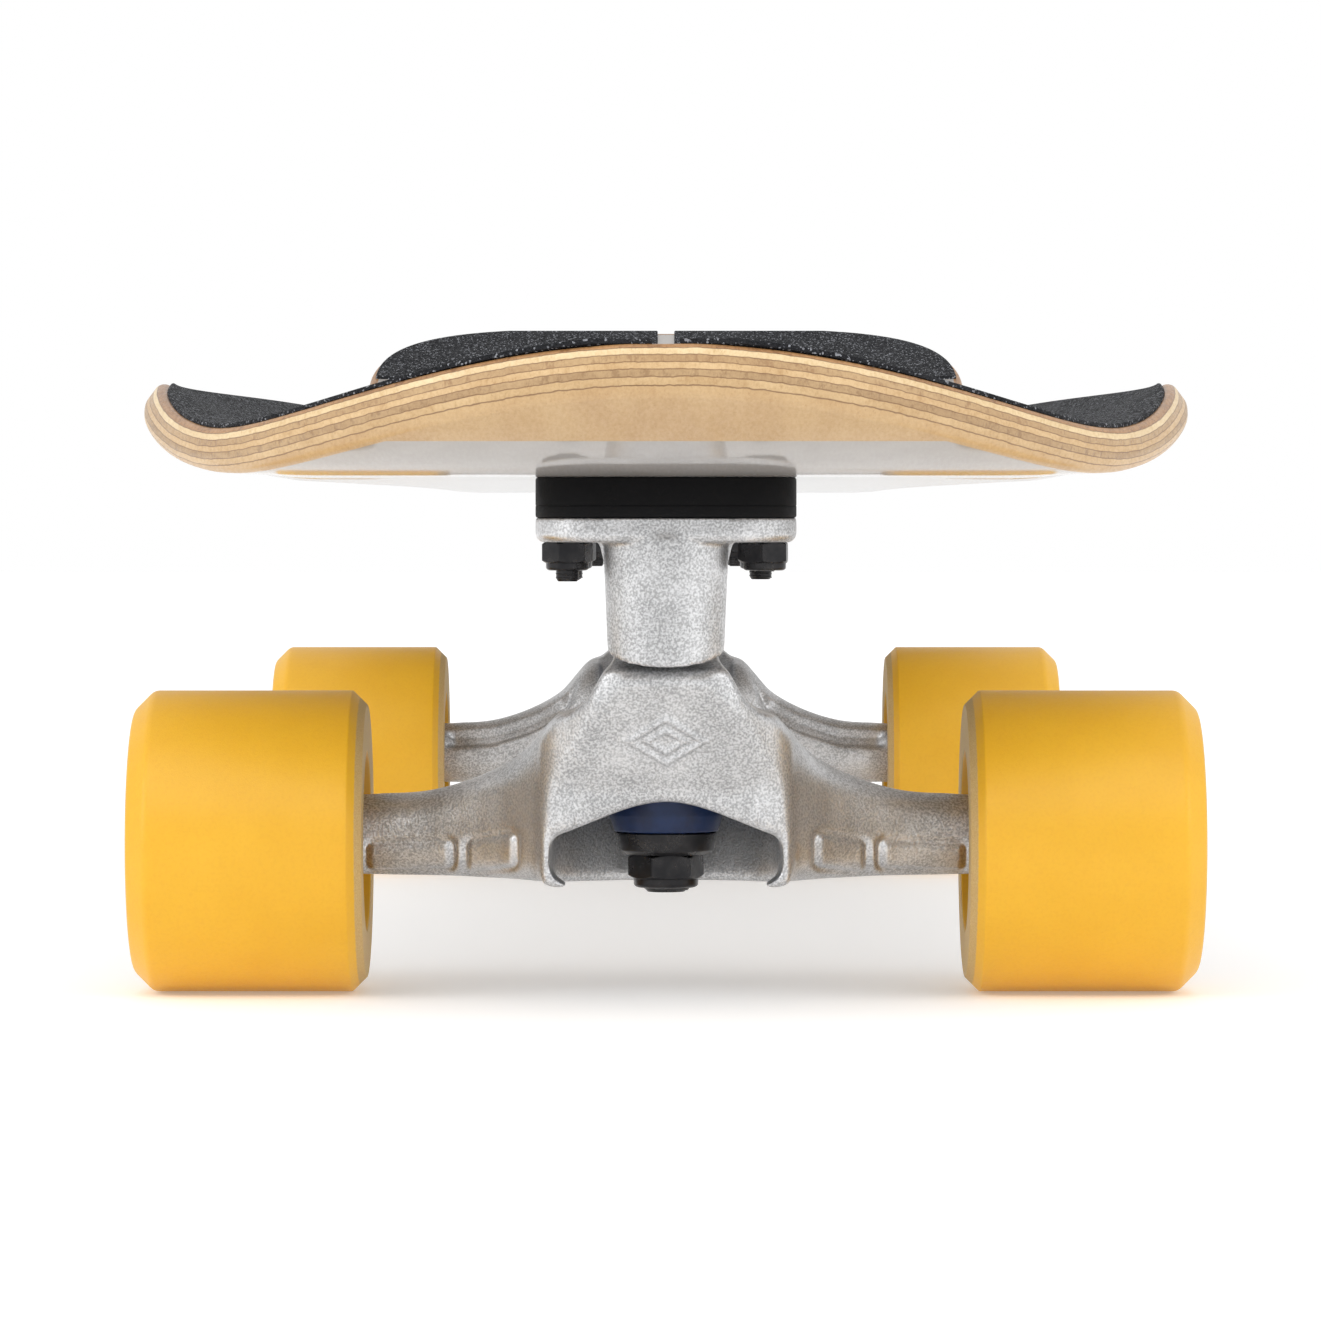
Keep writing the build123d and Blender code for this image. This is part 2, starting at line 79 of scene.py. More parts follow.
def half_width(y):
    """Half-width of the deck's outline."""
    nose = np.clip((y + DECK_END) / NOSE_ROUND, 0, 1)
    tail = np.clip((DECK_END - y) / TAIL_ROUND, 0, 1)
    return body_half_width(y) * np.sqrt(1 - (1 - nose) ** 2) * (1 - (1 - tail) ** 3) ** 0.25


def lift(x, y):
    """How far the deck's surface rises above its flat: nose, kick tail and rails."""
    height = NOSE_RISE * (np.maximum(-332 - y, 0) / 86) ** 2
    tail = np.maximum(y - 275, 0)
    bend = np.where(tail < TAIL_BLEND, tail ** 2 / (2 * TAIL_BLEND), tail - TAIL_BLEND / 2)
    height = height + TAIL_SLOPE * bend
    fade = ease((y + 372) / 140) * ease((390 - y) / 150)
    rail = np.maximum(np.abs(x) - (body_half_width(y) - RAIL_WIDTH), 0) / RAIL_WIDTH
    return height + RAIL_RISE * fade * rail ** 2


def pressed(x, y, depth):
    """Points of the pressed deck in metres: depth 0 is the underside, 9.1 the wood's top."""
    slope_y = lift(0, y + 0.5) - lift(0, y - 0.5)
    slope_x = lift(x + 0.5, y) - lift(x - 0.5, y)
    across = depth * np.sqrt(1 + slope_y ** 2) / np.sqrt(1 + slope_x ** 2)
    return np.stack([x - slope_x * across, y + 0 * x, DECK_Z + lift(x, y) + across], axis=-1) / 1000


def rim_inset(depth):
    """How far the rounded edge draws in at a depth."""
    low = 4.0 - np.sqrt(np.maximum(16 - np.maximum(4.0 - depth, 0) ** 2, 0))
    high = 2.2 - np.sqrt(np.maximum(4.84 - np.maximum(depth - 6.9, 0) ** 2, 0))
    return low + high


def make_mesh(name, points, faces, values=()):
    """A smooth mesh object from points in metres, with outward normals and named values at its points."""
    mesh = bpy.data.meshes.new(name)
    mesh.from_pydata([tuple(p) for p in points], [], faces)
    for label, numbers in values:
        mesh.attributes.new(label, "FLOAT", "POINT").data.foreach_set("value", numbers.astype(np.float32))
    work = bmesh.new()
    work.from_mesh(mesh)
    bmesh.ops.remove_doubles(work, verts=work.verts, dist=2e-6)
    bmesh.ops.recalc_face_normals(work, faces=work.faces)
    work.to_mesh(mesh)
    work.free()
    mesh.polygons.foreach_set("use_smooth", [True] * len(mesh.polygons))
    made = bpy.data.objects.new(name, mesh)
    bpy.context.scene.collection.objects.link(made)
    return made


def sharpen(made, degrees):
    """Edges sharper than this angle stay crisp."""
    made.data.set_sharp_from_angle(angle=math.radians(degrees))


def ring_faces(rings, count, closed):
    """Faces between rings of the same count, and from the last back to the first if closed."""
    faces = []
    for i in range(rings if closed else rings - 1):
        here, there = i * count, (i + 1) % rings * count
        faces += [(here + j, here + (j + 1) % count, there + (j + 1) % count, there + j) for j in range(count)]
    return faces


def deck_outline(count):
    """Outline of the deck, evenly spaced, as x and y and outward directions."""
    t = (1 - np.cos(np.pi * np.linspace(0, 1, 4000))) / 2
    y = -417.8 + 835.6 * t
    x = half_width(y)
    gone = np.concatenate([[0], np.cumsum(np.hypot(np.diff(x), np.diff(y)))])
    pick = np.interp(np.linspace(0, gone[-1], count // 2 + 1), gone, np.arange(4000))
    right = np.stack([np.interp(pick, np.arange(4000), x), np.interp(pick, np.arange(4000), y)], axis=-1)
    left = right[-2:0:-1] * [-1, 1]
    loop = np.concatenate([right, left])
    along = np.roll(loop, -1, 0) - np.roll(loop, 1, 0)
    out = np.stack([along[:, 1], -along[:, 0]], axis=-1)
    return loop, out / np.linalg.norm(out, axis=1)[:, None]


def make_ply(number, count, rings):
    """One veneer: its underside, rounded rim and top, as rings that close on the middle line."""
    loop, out = deck_outline(count)
    spine = np.stack([0 * loop[:, 0], np.clip(loop[:, 1], -345, 375)], axis=-1)
    low, high = (number - 1) * PLY_THICK, number * PLY_THICK
    levels = np.linspace(low, high, 7)
    stack = [(r, low) for r in rings[::-1]] + [(0, d) for d in levels[1:-1]] + [(r, high) for r in rings]
    points, depth_of, edge_of = [], [], []
    for r, depth in stack:
        place = loop - out * rim_inset(depth)
        place = place + (spine - place) * r
        x, y = place[:, 0], place[:, 1]
        points.append(pressed(x, y, depth))
        depth_of.append(np.full(count, depth))
        edge_of.append(np.linalg.norm(place - loop, axis=1))
    points, depth_of, edge_of = np.concatenate(points), np.concatenate(depth_of), np.concatenate(edge_of)
    if number == 1:    # shallow wheel wells routed into the underside
        for axle_y in (FRONT_AXLE_Y, REAR_AXLE_Y):
            well = np.sqrt(np.maximum(34 ** 2 - (points[:, 1] * 1000 - axle_y) ** 2, 0)) - 33.2
            side = ease((np.abs(points[:, 0]) * 1000 - 61) / 2)
            scoop = np.maximum(well, 0) * side * np.clip(PLY_THICK - depth_of, 0, 1) / PLY_THICK
            points[:, 2] += scoop / 1000
    faces = ring_faces(len(stack), count, False)
    made = make_mesh(f"deck_veneer_{number}", points, faces, (("depth", depth_of), ("edge", edge_of)))
    sharpen(made, 50)
    return made


def new_group(name, inputs, outputs):
    """An empty shader node group with named sockets, its input and its output node."""
    tree = bpy.data.node_groups.new(name, "ShaderNodeTree")
    for label, kind, value in inputs:
        socket = tree.interface.new_socket(name=label, in_out="INPUT", socket_type=kind)
        if value is not None:
            socket.default_value = value
    for label, kind in outputs:
        tree.interface.new_socket(name=label, in_out="OUTPUT", socket_type=kind)
    return tree, tree.nodes.new("NodeGroupInput"), tree.nodes.new("NodeGroupOutput")


def add(tree, kind, links=(), **settings):
    """A node with its settings, and (input, source socket or value) pairs."""
    node = tree.nodes.new(kind)
    for label, value in settings.items():
        setattr(node, label, value)
    for label, value in links:
        if isinstance(value, bpy.types.NodeSocket):
            tree.links.new(value, node.inputs[label])
        else:
            node.inputs[label].default_value = value
    return node


def sum_of(tree, operation, *values, clamp=False):
    """A Math node's output."""
    pairs = list(enumerate(values))
    return add(tree, "ShaderNodeMath", pairs, operation=operation, use_clamp=clamp).outputs[0]


def ramp(tree, value, low, high, start=0.0, end=1.0):
    """A value mapped smoothly from low..high to start..end."""
    return add(tree, "ShaderNodeMapRange", [(0, value), (1, low), (2, high), (3, start), (4, end)],
               interpolation_type="SMOOTHSTEP").outputs[0]


def mix(tree, factor, one, two, blend_type="MIX"):
    """A mix of two colours."""
    node = add(tree, "ShaderNodeMix", data_type="RGBA", blend_type=blend_type, clamp_factor=True)
    for socket, value in ((node.inputs[0], factor), (node.inputs[6], one), (node.inputs[7], two)):
        if isinstance(value, bpy.types.NodeSocket):
            tree.links.new(value, socket)
        else:
            socket.default_value = value
    return node.outputs[2]


def noise(tree, where, scale, detail=4.0, rough=0.55):
    """A Noise texture's value."""
    return add(tree, "ShaderNodeTexNoise", [("Vector", where), ("Scale", scale), ("Detail", detail),
                                            ("Roughness", rough)]).outputs[0]


def scaled(tree, vector, x, y, z):
    """A vector scaled per axis."""
    return add(tree, "ShaderNodeVectorMath", [(0, vector), (1, (x, y, z))], operation="MULTIPLY").outputs[0]


def new_material(name, **plain):
    """A material, its tree and its Principled shader with the plain values set."""
    made = bpy.data.materials.new(name)
    made.use_nodes = True
    shader = made.node_tree.nodes["Principled BSDF"]
    for label, value in plain.items():
        shader.inputs[label.replace("_", " ")].default_value = value
    return made, made.node_tree, shader


def feed(tree, shader, **sources):
    """Link sources to the shader's sockets; height makes a bump of a strength in metres."""
    height = sources.pop("height", None)
    distance = sources.pop("distance", 0.0002)
    for label, value in sources.items():
        tree.links.new(value, shader.inputs[label.replace("_", " ")])
    if height is not None:
        bump = add(tree, "ShaderNodeBump", [("Height", height), ("Distance", distance), ("Strength", 1.0)])
        tree.links.new(bump.outputs[0], shader.inputs["Normal"])


# Sliced maple: long fibres, broad growth bands and short dark pores on the end grain.
timber, t_in, t_out = new_group(
    "Timber", [("Where", "NodeSocketVector", None), ("Light", "NodeSocketColor", (0.8, 0.6, 0.35, 1)),
               ("Dark", "NodeSocketColor", (0.5, 0.3, 0.12, 1)), ("End grain", "NodeSocketFloat", 0.0)],
    [("Color", "NodeSocketColor"), ("Height", "NodeSocketFloat")])
t_where = t_in.outputs["Where"]
t_band = noise(timber, scaled(timber, t_where, 90, 3.0, 90), 1.0, 3.0)
t_fibre = noise(timber, scaled(timber, t_where, 1500, 28, 1500), 1.0, 4.0, 0.65)
t_pore = noise(timber, scaled(timber, t_where, 2600, 900, 900), 1.0, 2.0, 0.6)
t_cut = noise(timber, scaled(timber, t_where, 520, 520, 300), 1.0, 5.0, 0.7)
t_tone = sum_of(timber, "ADD", ramp(timber, t_band, 0.3, 0.7, 0, 0.42),
                ramp(timber, t_fibre, 0.3, 0.75, 0, 0.4))
t_spots = sum_of(timber, "MULTIPLY", ramp(timber, t_cut, 0.5, 0.68), t_in.outputs["End grain"])
t_dots = sum_of(timber, "MULTIPLY", ramp(timber, t_pore, 0.58, 0.72), 0.35)
t_tone = sum_of(timber, "ADD", sum_of(timber, "ADD", t_tone, sum_of(timber, "MULTIPLY", t_spots, 0.75)),
                t_dots, clamp=True)
timber.links.new(mix(timber, t_tone, t_in.outputs["Light"], t_in.outputs["Dark"]), t_out.inputs["Color"])
timber.links.new(sum_of(timber, "MULTIPLY", t_fibre, sum_of(timber, "SUBTRACT", 1.0, t_spots)),
                 t_out.inputs["Height"])


def ply_material(number, light, dark, end_grain):
    """Sanded veneer with a dark glue line, and white lacquer on the two outer faces, its colour darkened to
    warm grey as painted shade.
    """
    made, tree, shader = new_material(f"veneer_{number}", Coat_Roughness=0.08)
    where = add(tree, "ShaderNodeTexCoord").outputs["Object"]
    depth = add(tree, "ShaderNodeAttribute", attribute_name="depth").outputs["Fac"]
    edge = add(tree, "ShaderNodeAttribute", attribute_name="edge").outputs["Fac"]
    split = add(tree, "ShaderNodeSeparateXYZ", [(0, where)])
    wood = add(tree, "ShaderNodeGroup", node_tree=timber)
    own_place = (0.31 * number, 0.17 * number, 0.23 * number)    # so that no two veneers show the same figure
    shifted = add(tree, "ShaderNodeVectorMath", [(0, where), (1, own_place)], operation="ADD").outputs[0]
    rim = ramp(tree, edge, 1.0, 3.5, 1.0, 0.0)
    for label, value in (("Where", shifted), ("End grain", sum_of(tree, "MULTIPLY", rim, end_grain))):
        tree.links.new(value, wood.inputs[label])
    wood.inputs["Light"].default_value = light
    wood.inputs["Dark"].default_value = dark
    wobble = noise(tree, scaled(tree, where, 400, 60, 400), 1.0, 2.0)
    line = sum_of(tree, "ADD", depth, ramp(tree, wobble, 0.2, 0.8, -0.12, 0.12))
    from_glue = sum_of(tree, "PINGPONG", line, PLY_THICK / 2)
    glue = sum_of(tree, "MULTIPLY", ramp(tree, from_glue, 0.03, 0.16, 0.75, 0.0), rim)
    colour = mix(tree, glue, wood.outputs["Color"], (0.16, 0.075, 0.028, 1))
    if number in (1, 7):
        along = split.outputs["Y"]
        if number == 1:
            back = ramp(tree, along, -0.3873, -0.3867)
            face = ramp(tree, depth, 0.02, 0.1, 1.0, 0.0)
            wide = sum_of(tree, "ABSOLUTE", split.outputs["X"])
            wells = 0.0
            for _, axle_y, _ in TRUCKS:
                off = sum_of(tree, "ABSOLUTE", sum_of(tree, "SUBTRACT", along, axle_y))
                well = sum_of(tree, "MULTIPLY", ramp(tree, off, 0.0066, 0.0071, 1.0, 0.0),
                              ramp(tree, wide, 0.0618, 0.0628))
                wells = sum_of(tree, "MAXIMUM", wells, well)
            face = sum_of(tree, "MULTIPLY", face, sum_of(tree, "SUBTRACT", 1.0, wells))
            face = sum_of(tree, "MULTIPLY", face, back)
            inside = ramp(tree, edge, 5.4, 6.0)
        else:
            face = ramp(tree, depth, 9.0, 9.08)
            inside = ramp(tree, edge, 2.6, 3.0)
        paint = sum_of(tree, "MULTIPLY", face, inside)
        cloud = noise(tree, where, 60.0, 3.0)
        # The white lacquer gets a darker warm-grey colour: painted shade for the shaded underside, used on
        # both faces.
        lacquer_grey_painted_shade = mix(tree, ramp(tree, cloud, 0.3, 0.7), (0.36, 0.335, 0.312, 1), (0.41, 0.383, 0.36, 1))
        colour = mix(tree, paint, colour, lacquer_grey_painted_shade)
        coat = sum_of(tree, "ADD", sum_of(tree, "MULTIPLY", paint, 0.65), 0.2)
        height = sum_of(tree, "MULTIPLY", wood.outputs["Height"], ramp(tree, paint, 0, 1, 1.0, 0.12))
    else:
        coat = ramp(tree, wobble, 0.2, 0.8, 0.12, 0.22)
        height = wood.outputs["Height"]
    rough = ramp(tree, wood.outputs["Height"], 0.2, 0.8, 0.36, 0.52)
    feed(tree, shader, Base_Color=colour, Roughness=rough, Coat_Weight=coat, height=height, distance=0.00012)
    return made


veneers = [
    (1, (0.62, 0.42, 0.21, 1), (0.46, 0.27, 0.115, 1), 0.2),
    (2, (0.66, 0.46, 0.24, 1), (0.46, 0.28, 0.12, 1), 0.5),
    (3, (0.50, 0.33, 0.165, 1), (0.32, 0.19, 0.085, 1), 1.0),
    (4, (0.70, 0.49, 0.26, 1), (0.48, 0.29, 0.125, 1), 0.5),
    (5, (0.54, 0.36, 0.18, 1), (0.36, 0.21, 0.095, 1), 1.0),
    (6, (0.82, 0.64, 0.38, 1), (0.60, 0.40, 0.19, 1), 0.4),
    (7, (0.47, 0.25, 0.10, 1), (0.24, 0.11, 0.038, 1), 0.9)]
wide_rings = [0, 0.004, 0.01, 0.02, 0.035, 0.055, 0.08, 0.11, 0.15, 0.2, 0.26, 0.32, 0.38, 0.44, 0.5, 0.56,
              0.62, 0.68, 0.74, 0.8, 0.86, 0.92, 0.96, 1]
few_rings = [0, 0.01, 0.04, 0.1, 0.2, 0.35, 0.5, 0.7, 0.85, 1]
for number, light, dark, end_grain in veneers:
    outer = number in (1, 7)
    ply = make_ply(number, 880 if outer else 640, wide_rings if outer else few_rings)
    ply.data.materials.append(ply_material(number, light, dark, end_grain))
    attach(ply, "deck")
    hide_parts(f"deck_ply_{number}")


# ================================================================ grip sheets
# Black silicon-carbide grip paper stuck to the deck: two halves with a bare line between them,
# and two more on the kick tail behind a bare band.

def make_grip(name, start, end, side):
    """One half sheet, from the bare middle line out to the rim."""
    rows = 260 if end - start > 100 else 90
    t = (1 - np.cos(np.pi * np.linspace(0.004, 0.9985, rows))) / 2
    furthest = DECK_END - GRIP_INSET
    start, end = max(start, -furthest), min(end, furthest)
    ys = start + (end - start) * t
    across = (1 - np.cos(np.pi * np.linspace(0, 1, 40))) / 2
    rim = [(0, DECK_THICK), (0, 9.4), (0, 9.7), (0.1, 9.88), (0.3, 10.0)]
    columns = [(0, drop, depth) for drop, depth in rim] + [(c, 0.3, 10.0) for c in across[1:-1]]
    columns += [(1, drop, depth) for drop, depth in rim[::-1]]
    columns += [(c, 0, DECK_THICK) for c in across[-2:0:-1]]
    points = []
    for y, end_drop in [(ys[0], 1)] + [(y, 0) for y in ys] + [(ys[-1], 1)]:
        outer = float(half_width(y)) - GRIP_INSET
        for c, drop, depth in columns:
            inner = GRIP_HALF_GAP + drop
            limit = max(outer - drop, inner + 0.05)
            depth = DECK_THICK if end_drop else depth
            points.append(pressed(np.array(inner + (limit - inner) * c), np.array(y), depth) * [side, 1, 1])
    wide = len(columns)
    faces = ring_faces(rows + 2, wide, False)
    faces += [tuple(range(wide))[::-1], tuple(range((rows + 1) * wide, (rows + 2) * wide))]
    return make_mesh(name, points, faces)


def punch(sheet, places, radius):
    """Round holes for the truck bolts through a sheet, at these x and y in millimetres."""
    points, faces = [], []
    count = 40
    for x, y in places:
        first = len(points)
        second = first + count
        for z in (118.0, 122.0):
            points += [((x + radius * math.cos(a)) / 1000, (y + radius * math.sin(a)) / 1000, z / 1000)
                       for a in np.linspace(0, math.tau, count, endpoint=False)]
        faces += [(first + k, first + (k + 1) % count, second + (k + 1) % count, second + k)
                  for k in range(count)]
        faces += [tuple(range(first, second))[::-1], tuple(range(second, second + count))]
    cutter = make_mesh("cutter", points, faces)
    cut = sheet.modifiers.new("cut", "BOOLEAN")
    cut.operation, cut.solver, cut.object = "DIFFERENCE", "EXACT", cutter
    depsgraph = bpy.context.evaluated_depsgraph_get()
    holed = bpy.data.meshes.new_from_object(sheet.evaluated_get(depsgraph))
    sheet.modifiers.clear()
    sheet.data = holed
    bpy.data.objects.remove(cutter)


grip_black, tree, shader = new_material("grip_paper", Specular_IOR_Level=0.12)
where = add(tree, "ShaderNodeTexCoord").outputs["Object"]
grit = add(tree, "ShaderNodeTexVoronoi", [("Vector", where), ("Scale", 2600.0)])
grain = add(tree, "ShaderNodeSeparateColor", [(0, grit.outputs["Color"])])
fine = noise(tree, where, 5200.0, 2.0)
worn = noise(tree, where, 45.0, 4.0)
flake = ramp(tree, grain.outputs[0], 0.86, 0.97)
dull = mix(tree, ramp(tree, fine, 0.3, 0.7), (0.004, 0.0042, 0.005, 1), (0.028, 0.029, 0.033, 1))
dull = mix(tree, ramp(tree, worn, 0.45, 0.75, 0.0, 0.35), dull, (0.05, 0.052, 0.057, 1))
colour = mix(tree, sum_of(tree, "MULTIPLY", flake, 0.8), dull, (0.34, 0.35, 0.38, 1))
height = sum_of(tree, "ADD", sum_of(tree, "MULTIPLY", grit.outputs["Distance"], 0.7), fine)
feed(tree, shader, Base_Color=colour, Roughness=ramp(tree, grain.outputs[1], 0, 1, 0.45, 0.95),
     height=height, distance=0.00022)
bolt_rows = sorted(axle_y + turn * y for axle_y, turn in ((FRONT_AXLE_Y, 1), (REAR_AXLE_Y, -1))
                   for y in BOLT_Y)
for part, start, end in (("main", -DECK_END, BAND_START), ("tail", BAND_END, DECK_END)):
    for side, sign in (("left", 1), ("right", -1)):
        sheet = make_grip(f"grip_paper_{part}_{side}", start, end, sign)
        if part == "main":
            punch(sheet, [(sign * BOLT_X, y) for y in bolt_rows], 4.55)
        sharpen(sheet, 40)
        sheet.data.materials.append(grip_black)
        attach(sheet, "deck")
        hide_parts(f"grip_{part}_{side}")


# ================================================================ riser pads
# Moulded black rubber pads between the baseplates and the deck, held by the truck bolts.

rubber, tree, shader = new_material("riser_rubber", Specular_IOR_Level=0.12)
where = add(tree, "ShaderNodeTexCoord").outputs["Object"]
fine = noise(tree, where, 2400.0, 3.0)
cloud = noise(tree, where, 110.0, 4.0)
dust = sum_of(tree, "MULTIPLY", ramp(tree, cloud, 0.5, 0.75), ramp(tree, fine, 0.45, 0.7))
feed(tree, shader, Base_Color=mix(tree, sum_of(tree, "MULTIPLY", dust, 0.35), (0.0045, 0.0045, 0.005, 1),
                                  (0.03, 0.029, 0.028, 1)),
     Roughness=ramp(tree, cloud, 0.25, 0.75, 0.5, 0.68), height=fine, distance=0.00006)


def turned_copy(points, axle_y, turn):
    """Points of a truck piece, in its own frame in millimetres, put in place in metres."""
    return np.array(points) * [turn / 1000, turn / 1000, 0.001] + [0, axle_y, 0]


def plate_loop(draw_in):
    """Rounded rectangle of the plate, drawn in by a distance, as x and y."""
    loop = []
    radius = 14 - draw_in
    for middle_x, middle_y, start in ((13.3, 19, 0), (-13.3, 19, 90), (-13.3, -42, 180), (13.3, -42, 270)):
        for step in range(13):
            angle = math.radians(start + step * 7.5)
            loop.append((middle_x + radius * math.cos(angle), middle_y + radius * math.sin(angle)))
    return loop


def slab(stations):
    """Closed slab from (draw in, height) rings."""
    count = 52
    points = [(x, y, z) for draw_in, z in stations for x, y in plate_loop(draw_in)]
    faces = ring_faces(len(stations), count, False)
    faces += [tuple(range(count))[::-1], tuple(range((len(stations) - 1) * count, len(stations) * count))]
    return points, faces


for truck, axle_y, turn in TRUCKS:
    points, faces = slab([(0.5, 102.2), (0.15, 102.35), (0, 102.7), (0, 104.6), (0.12, 104.75), (0, 104.9),
                          (0, 110.2), (0.15, 110.55), (0.5, 110.7)])
    pad = make_mesh(f"{truck}_riser", turned_copy(points, axle_y, turn), faces)
    sharpen(pad, 35)
    pad.data.materials.append(rubber)
    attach(pad, "deck")
    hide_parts(f"{truck}_riser_pad")


# ================================================================ cast baseplates and hangers
# Gravity-cast aluminium, tumbled after casting: soft edges, a fine sparkling grain and
# a few brighter rubbed places. The baseplate is bolted to the deck and the hanger swings under it.

def cast_points(node, voxel):
    """The node's shape in even small faces: points, edges and the mesh."""
    rough = bpy.data.objects.new("rough", nodes[node].data.copy())
    bpy.context.scene.collection.objects.link(rough)
    rough.data.materials.clear()
    skin = rough.modifiers.new("skin", "REMESH")
    skin.mode = "VOXEL"
    skin.voxel_size = voxel
    depsgraph = bpy.context.evaluated_depsgraph_get()
    mesh = bpy.data.meshes.new_from_object(rough.evaluated_get(depsgraph))
    bpy.data.objects.remove(rough)
    points = np.zeros(len(mesh.vertices) * 3)
    mesh.vertices.foreach_get("co", points)
    edges = np.zeros(len(mesh.edges) * 2, int)
    mesh.edges.foreach_get("vertices", edges)
    return points.reshape(-1, 3), edges.reshape(-1, 2), mesh


def relax(points, edges, rounds, weight):
    """Even out the surface, each point by its own weight."""
    count = len(points)
    ends = np.concatenate([edges[:, 0], edges[:, 1]])
    others = np.concatenate([edges[:, 1], edges[:, 0]])
    degree = np.bincount(ends, minlength=count)
    for _ in range(rounds):
        mean = np.stack([np.bincount(ends, points[others, i], count) for i in range(3)], axis=-1)
        points = points + (mean / degree[:, None] - points) * weight[:, None]
    return points


def normals_of(mesh, points):
    """Vertex normals of the mesh with its points moved."""
    mesh.vertices.foreach_set("co", points.ravel())
    mesh.update()
    normals = np.zeros(len(points) * 3)
    mesh.vertices.foreach_get("normal", normals)
    return normals.reshape(-1, 3)


def step_between(value, low, high):
    return ease((value - low) / (high - low))


def round_box(x, z, middle_x, middle_z, half_x, half_z, lean, radius):
    """Signed distance to a rounded box that leans along x."""
    px = np.abs(x - middle_x) - half_x + radius
    pz = np.abs(z - middle_z - lean * (x - middle_x)) - half_z + radius
    return np.hypot(np.maximum(px, 0), np.maximum(pz, 0)) + np.minimum(np.maximum(px, pz), 0) - radius


def refine(mesh, points, wanted):
    """Split the faces round the wanted points once."""
    mesh.vertices.foreach_set("co", points.ravel())
    work = bmesh.new()
    work.from_mesh(mesh)
    work.verts.ensure_lookup_table()
    chosen = [e for e in work.edges if wanted[e.verts[0].index] and wanted[e.verts[1].index]]
    bmesh.ops.subdivide_edges(work, edges=chosen, cuts=1, use_grid_fill=True)
    work.to_mesh(mesh)
    work.free()
    points = np.zeros(len(mesh.vertices) * 3)
    mesh.vertices.foreach_get("co", points)
    return points.reshape(-1, 3)


# Cast metal: fine grain, soft blotches, rubbed places that shine a little more.
cast_skin, c_in, c_out = new_group(
    "CastSkin", [("Where", "NodeSocketVector", None), ("Grain", "NodeSocketFloat", 2000.0)],
    [("Tone", "NodeSocketFloat"), ("Height", "NodeSocketFloat"), ("Rubbed", "NodeSocketFloat")])
c_where = c_in.outputs["Where"]
c_grain = noise(cast_skin, c_where, c_in.outputs["Grain"], 2.0, 0.6)
c_pit = noise(cast_skin, c_where, 900.0, 2.0)
c_cloud = noise(cast_skin, c_where, 75.0, 4.0)
c_tone = sum_of(cast_skin, "ADD", ramp(cast_skin, c_grain, 0.36, 0.64, 0, 0.72),
                ramp(cast_skin, c_cloud, 0.3, 0.7, 0, 0.28))
cast_skin.links.new(c_tone, c_out.inputs["Tone"])
cast_skin.links.new(sum_of(cast_skin, "ADD", c_grain, sum_of(cast_skin, "MULTIPLY", c_pit, 0.6)),
                    c_out.inputs["Height"])
cast_skin.links.new(ramp(cast_skin, c_cloud, 0.5, 0.72), c_out.inputs["Rubbed"])

cast_metal, tree, shader = new_material("cast_aluminium", Metallic=0.92)
where = add(tree, "ShaderNodeTexCoord").outputs["Object"]
skin = add(tree, "ShaderNodeGroup", [("Where", where)], node_tree=cast_skin)
colour = mix(tree, skin.outputs["Tone"], (0.35, 0.353, 0.36, 1), (0.74, 0.745, 0.755, 1))
colour = mix(tree, sum_of(tree, "MULTIPLY", skin.outputs["Rubbed"], 0.35), colour, (0.72, 0.72, 0.73, 1))
rough = sum_of(tree, "SUBTRACT", ramp(tree, skin.outputs["Tone"], 0, 1, 0.5, 0.36),
               sum_of(tree, "MULTIPLY", skin.outputs["Rubbed"], 0.08))
feed(tree, shader, Base_Color=colour, Roughness=rough, height=skin.outputs["Height"], distance=0.00007)


def finish_cast(mesh, points, truck, turn, name, body, node):
    """Put the points in the mesh as a piece of that truck; points are in the front truck's place."""
    mesh = mesh.copy()
    placed = points * [turn, turn, 1] + [0, -0.057 if turn < 0 else 0, 0]
    mesh.vertices.foreach_set("co", placed.ravel())
    mesh.polygons.foreach_set("use_smooth", [True] * len(mesh.polygons))
    mesh.update()
    piece = bpy.data.objects.new(f"{truck}_{name}", mesh)
    bpy.context.scene.collection.objects.link(piece)
    mesh.materials.clear()
    mesh.materials.append(cast_metal)
    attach(piece, body)
    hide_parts(node)


plate, plate_edges, plate_mesh = cast_points("front_baseplate", 0.0005)
flat = (plate[:, 2] > 0.1015) | (np.abs(plate[:, 2] - 0.0971) < 0.0003)
plate = relax(plate, plate_edges, 3, np.where(flat, 0.12, 0.5))
for truck, axle_y, turn in TRUCKS:
    finish_cast(plate_mesh, plate, truck, turn, "base_casting", "deck", f"{truck}_baseplate")

arm, arm_edges, arm_mesh = cast_points("front_hanger", 0.00078)
x, y, z = arm[:, 0] * 1000, arm[:, 1] * 1000 + 272, arm[:, 2] * 1000
inner = np.hypot(x, y - KINGPIN_Y) < 17.5
arm_part = step_between(np.abs(x), 19, 26) * (1 - step_between(np.abs(x), 68, 75))
loose = 0.04 + 0.5 * arm_part
loose = np.where(inner & (z > 42), 0.03, loose)
arm = relax(arm, arm_edges, 26, loose)
arm = relax(arm, arm_edges, 3, np.full(len(arm), 0.4))
shield = (np.abs(x) < 14) & (z > 47) & (z < 64) & (y < -8)
panels = (np.abs(x) > 25) & (np.abs(x) < 67) & (z > 23) & (z < 37) & (y < -3)
near_front = shield | panels
arm = refine(arm_mesh, arm, near_front)
normal = normals_of(arm_mesh, arm)
x, y, z = arm[:, 0] * 1000, arm[:, 1] * 1000 + 272, arm[:, 2] * 1000
facing = step_between(-normal[:, 1], 0.1, 0.3)
push = np.zeros(len(arm))
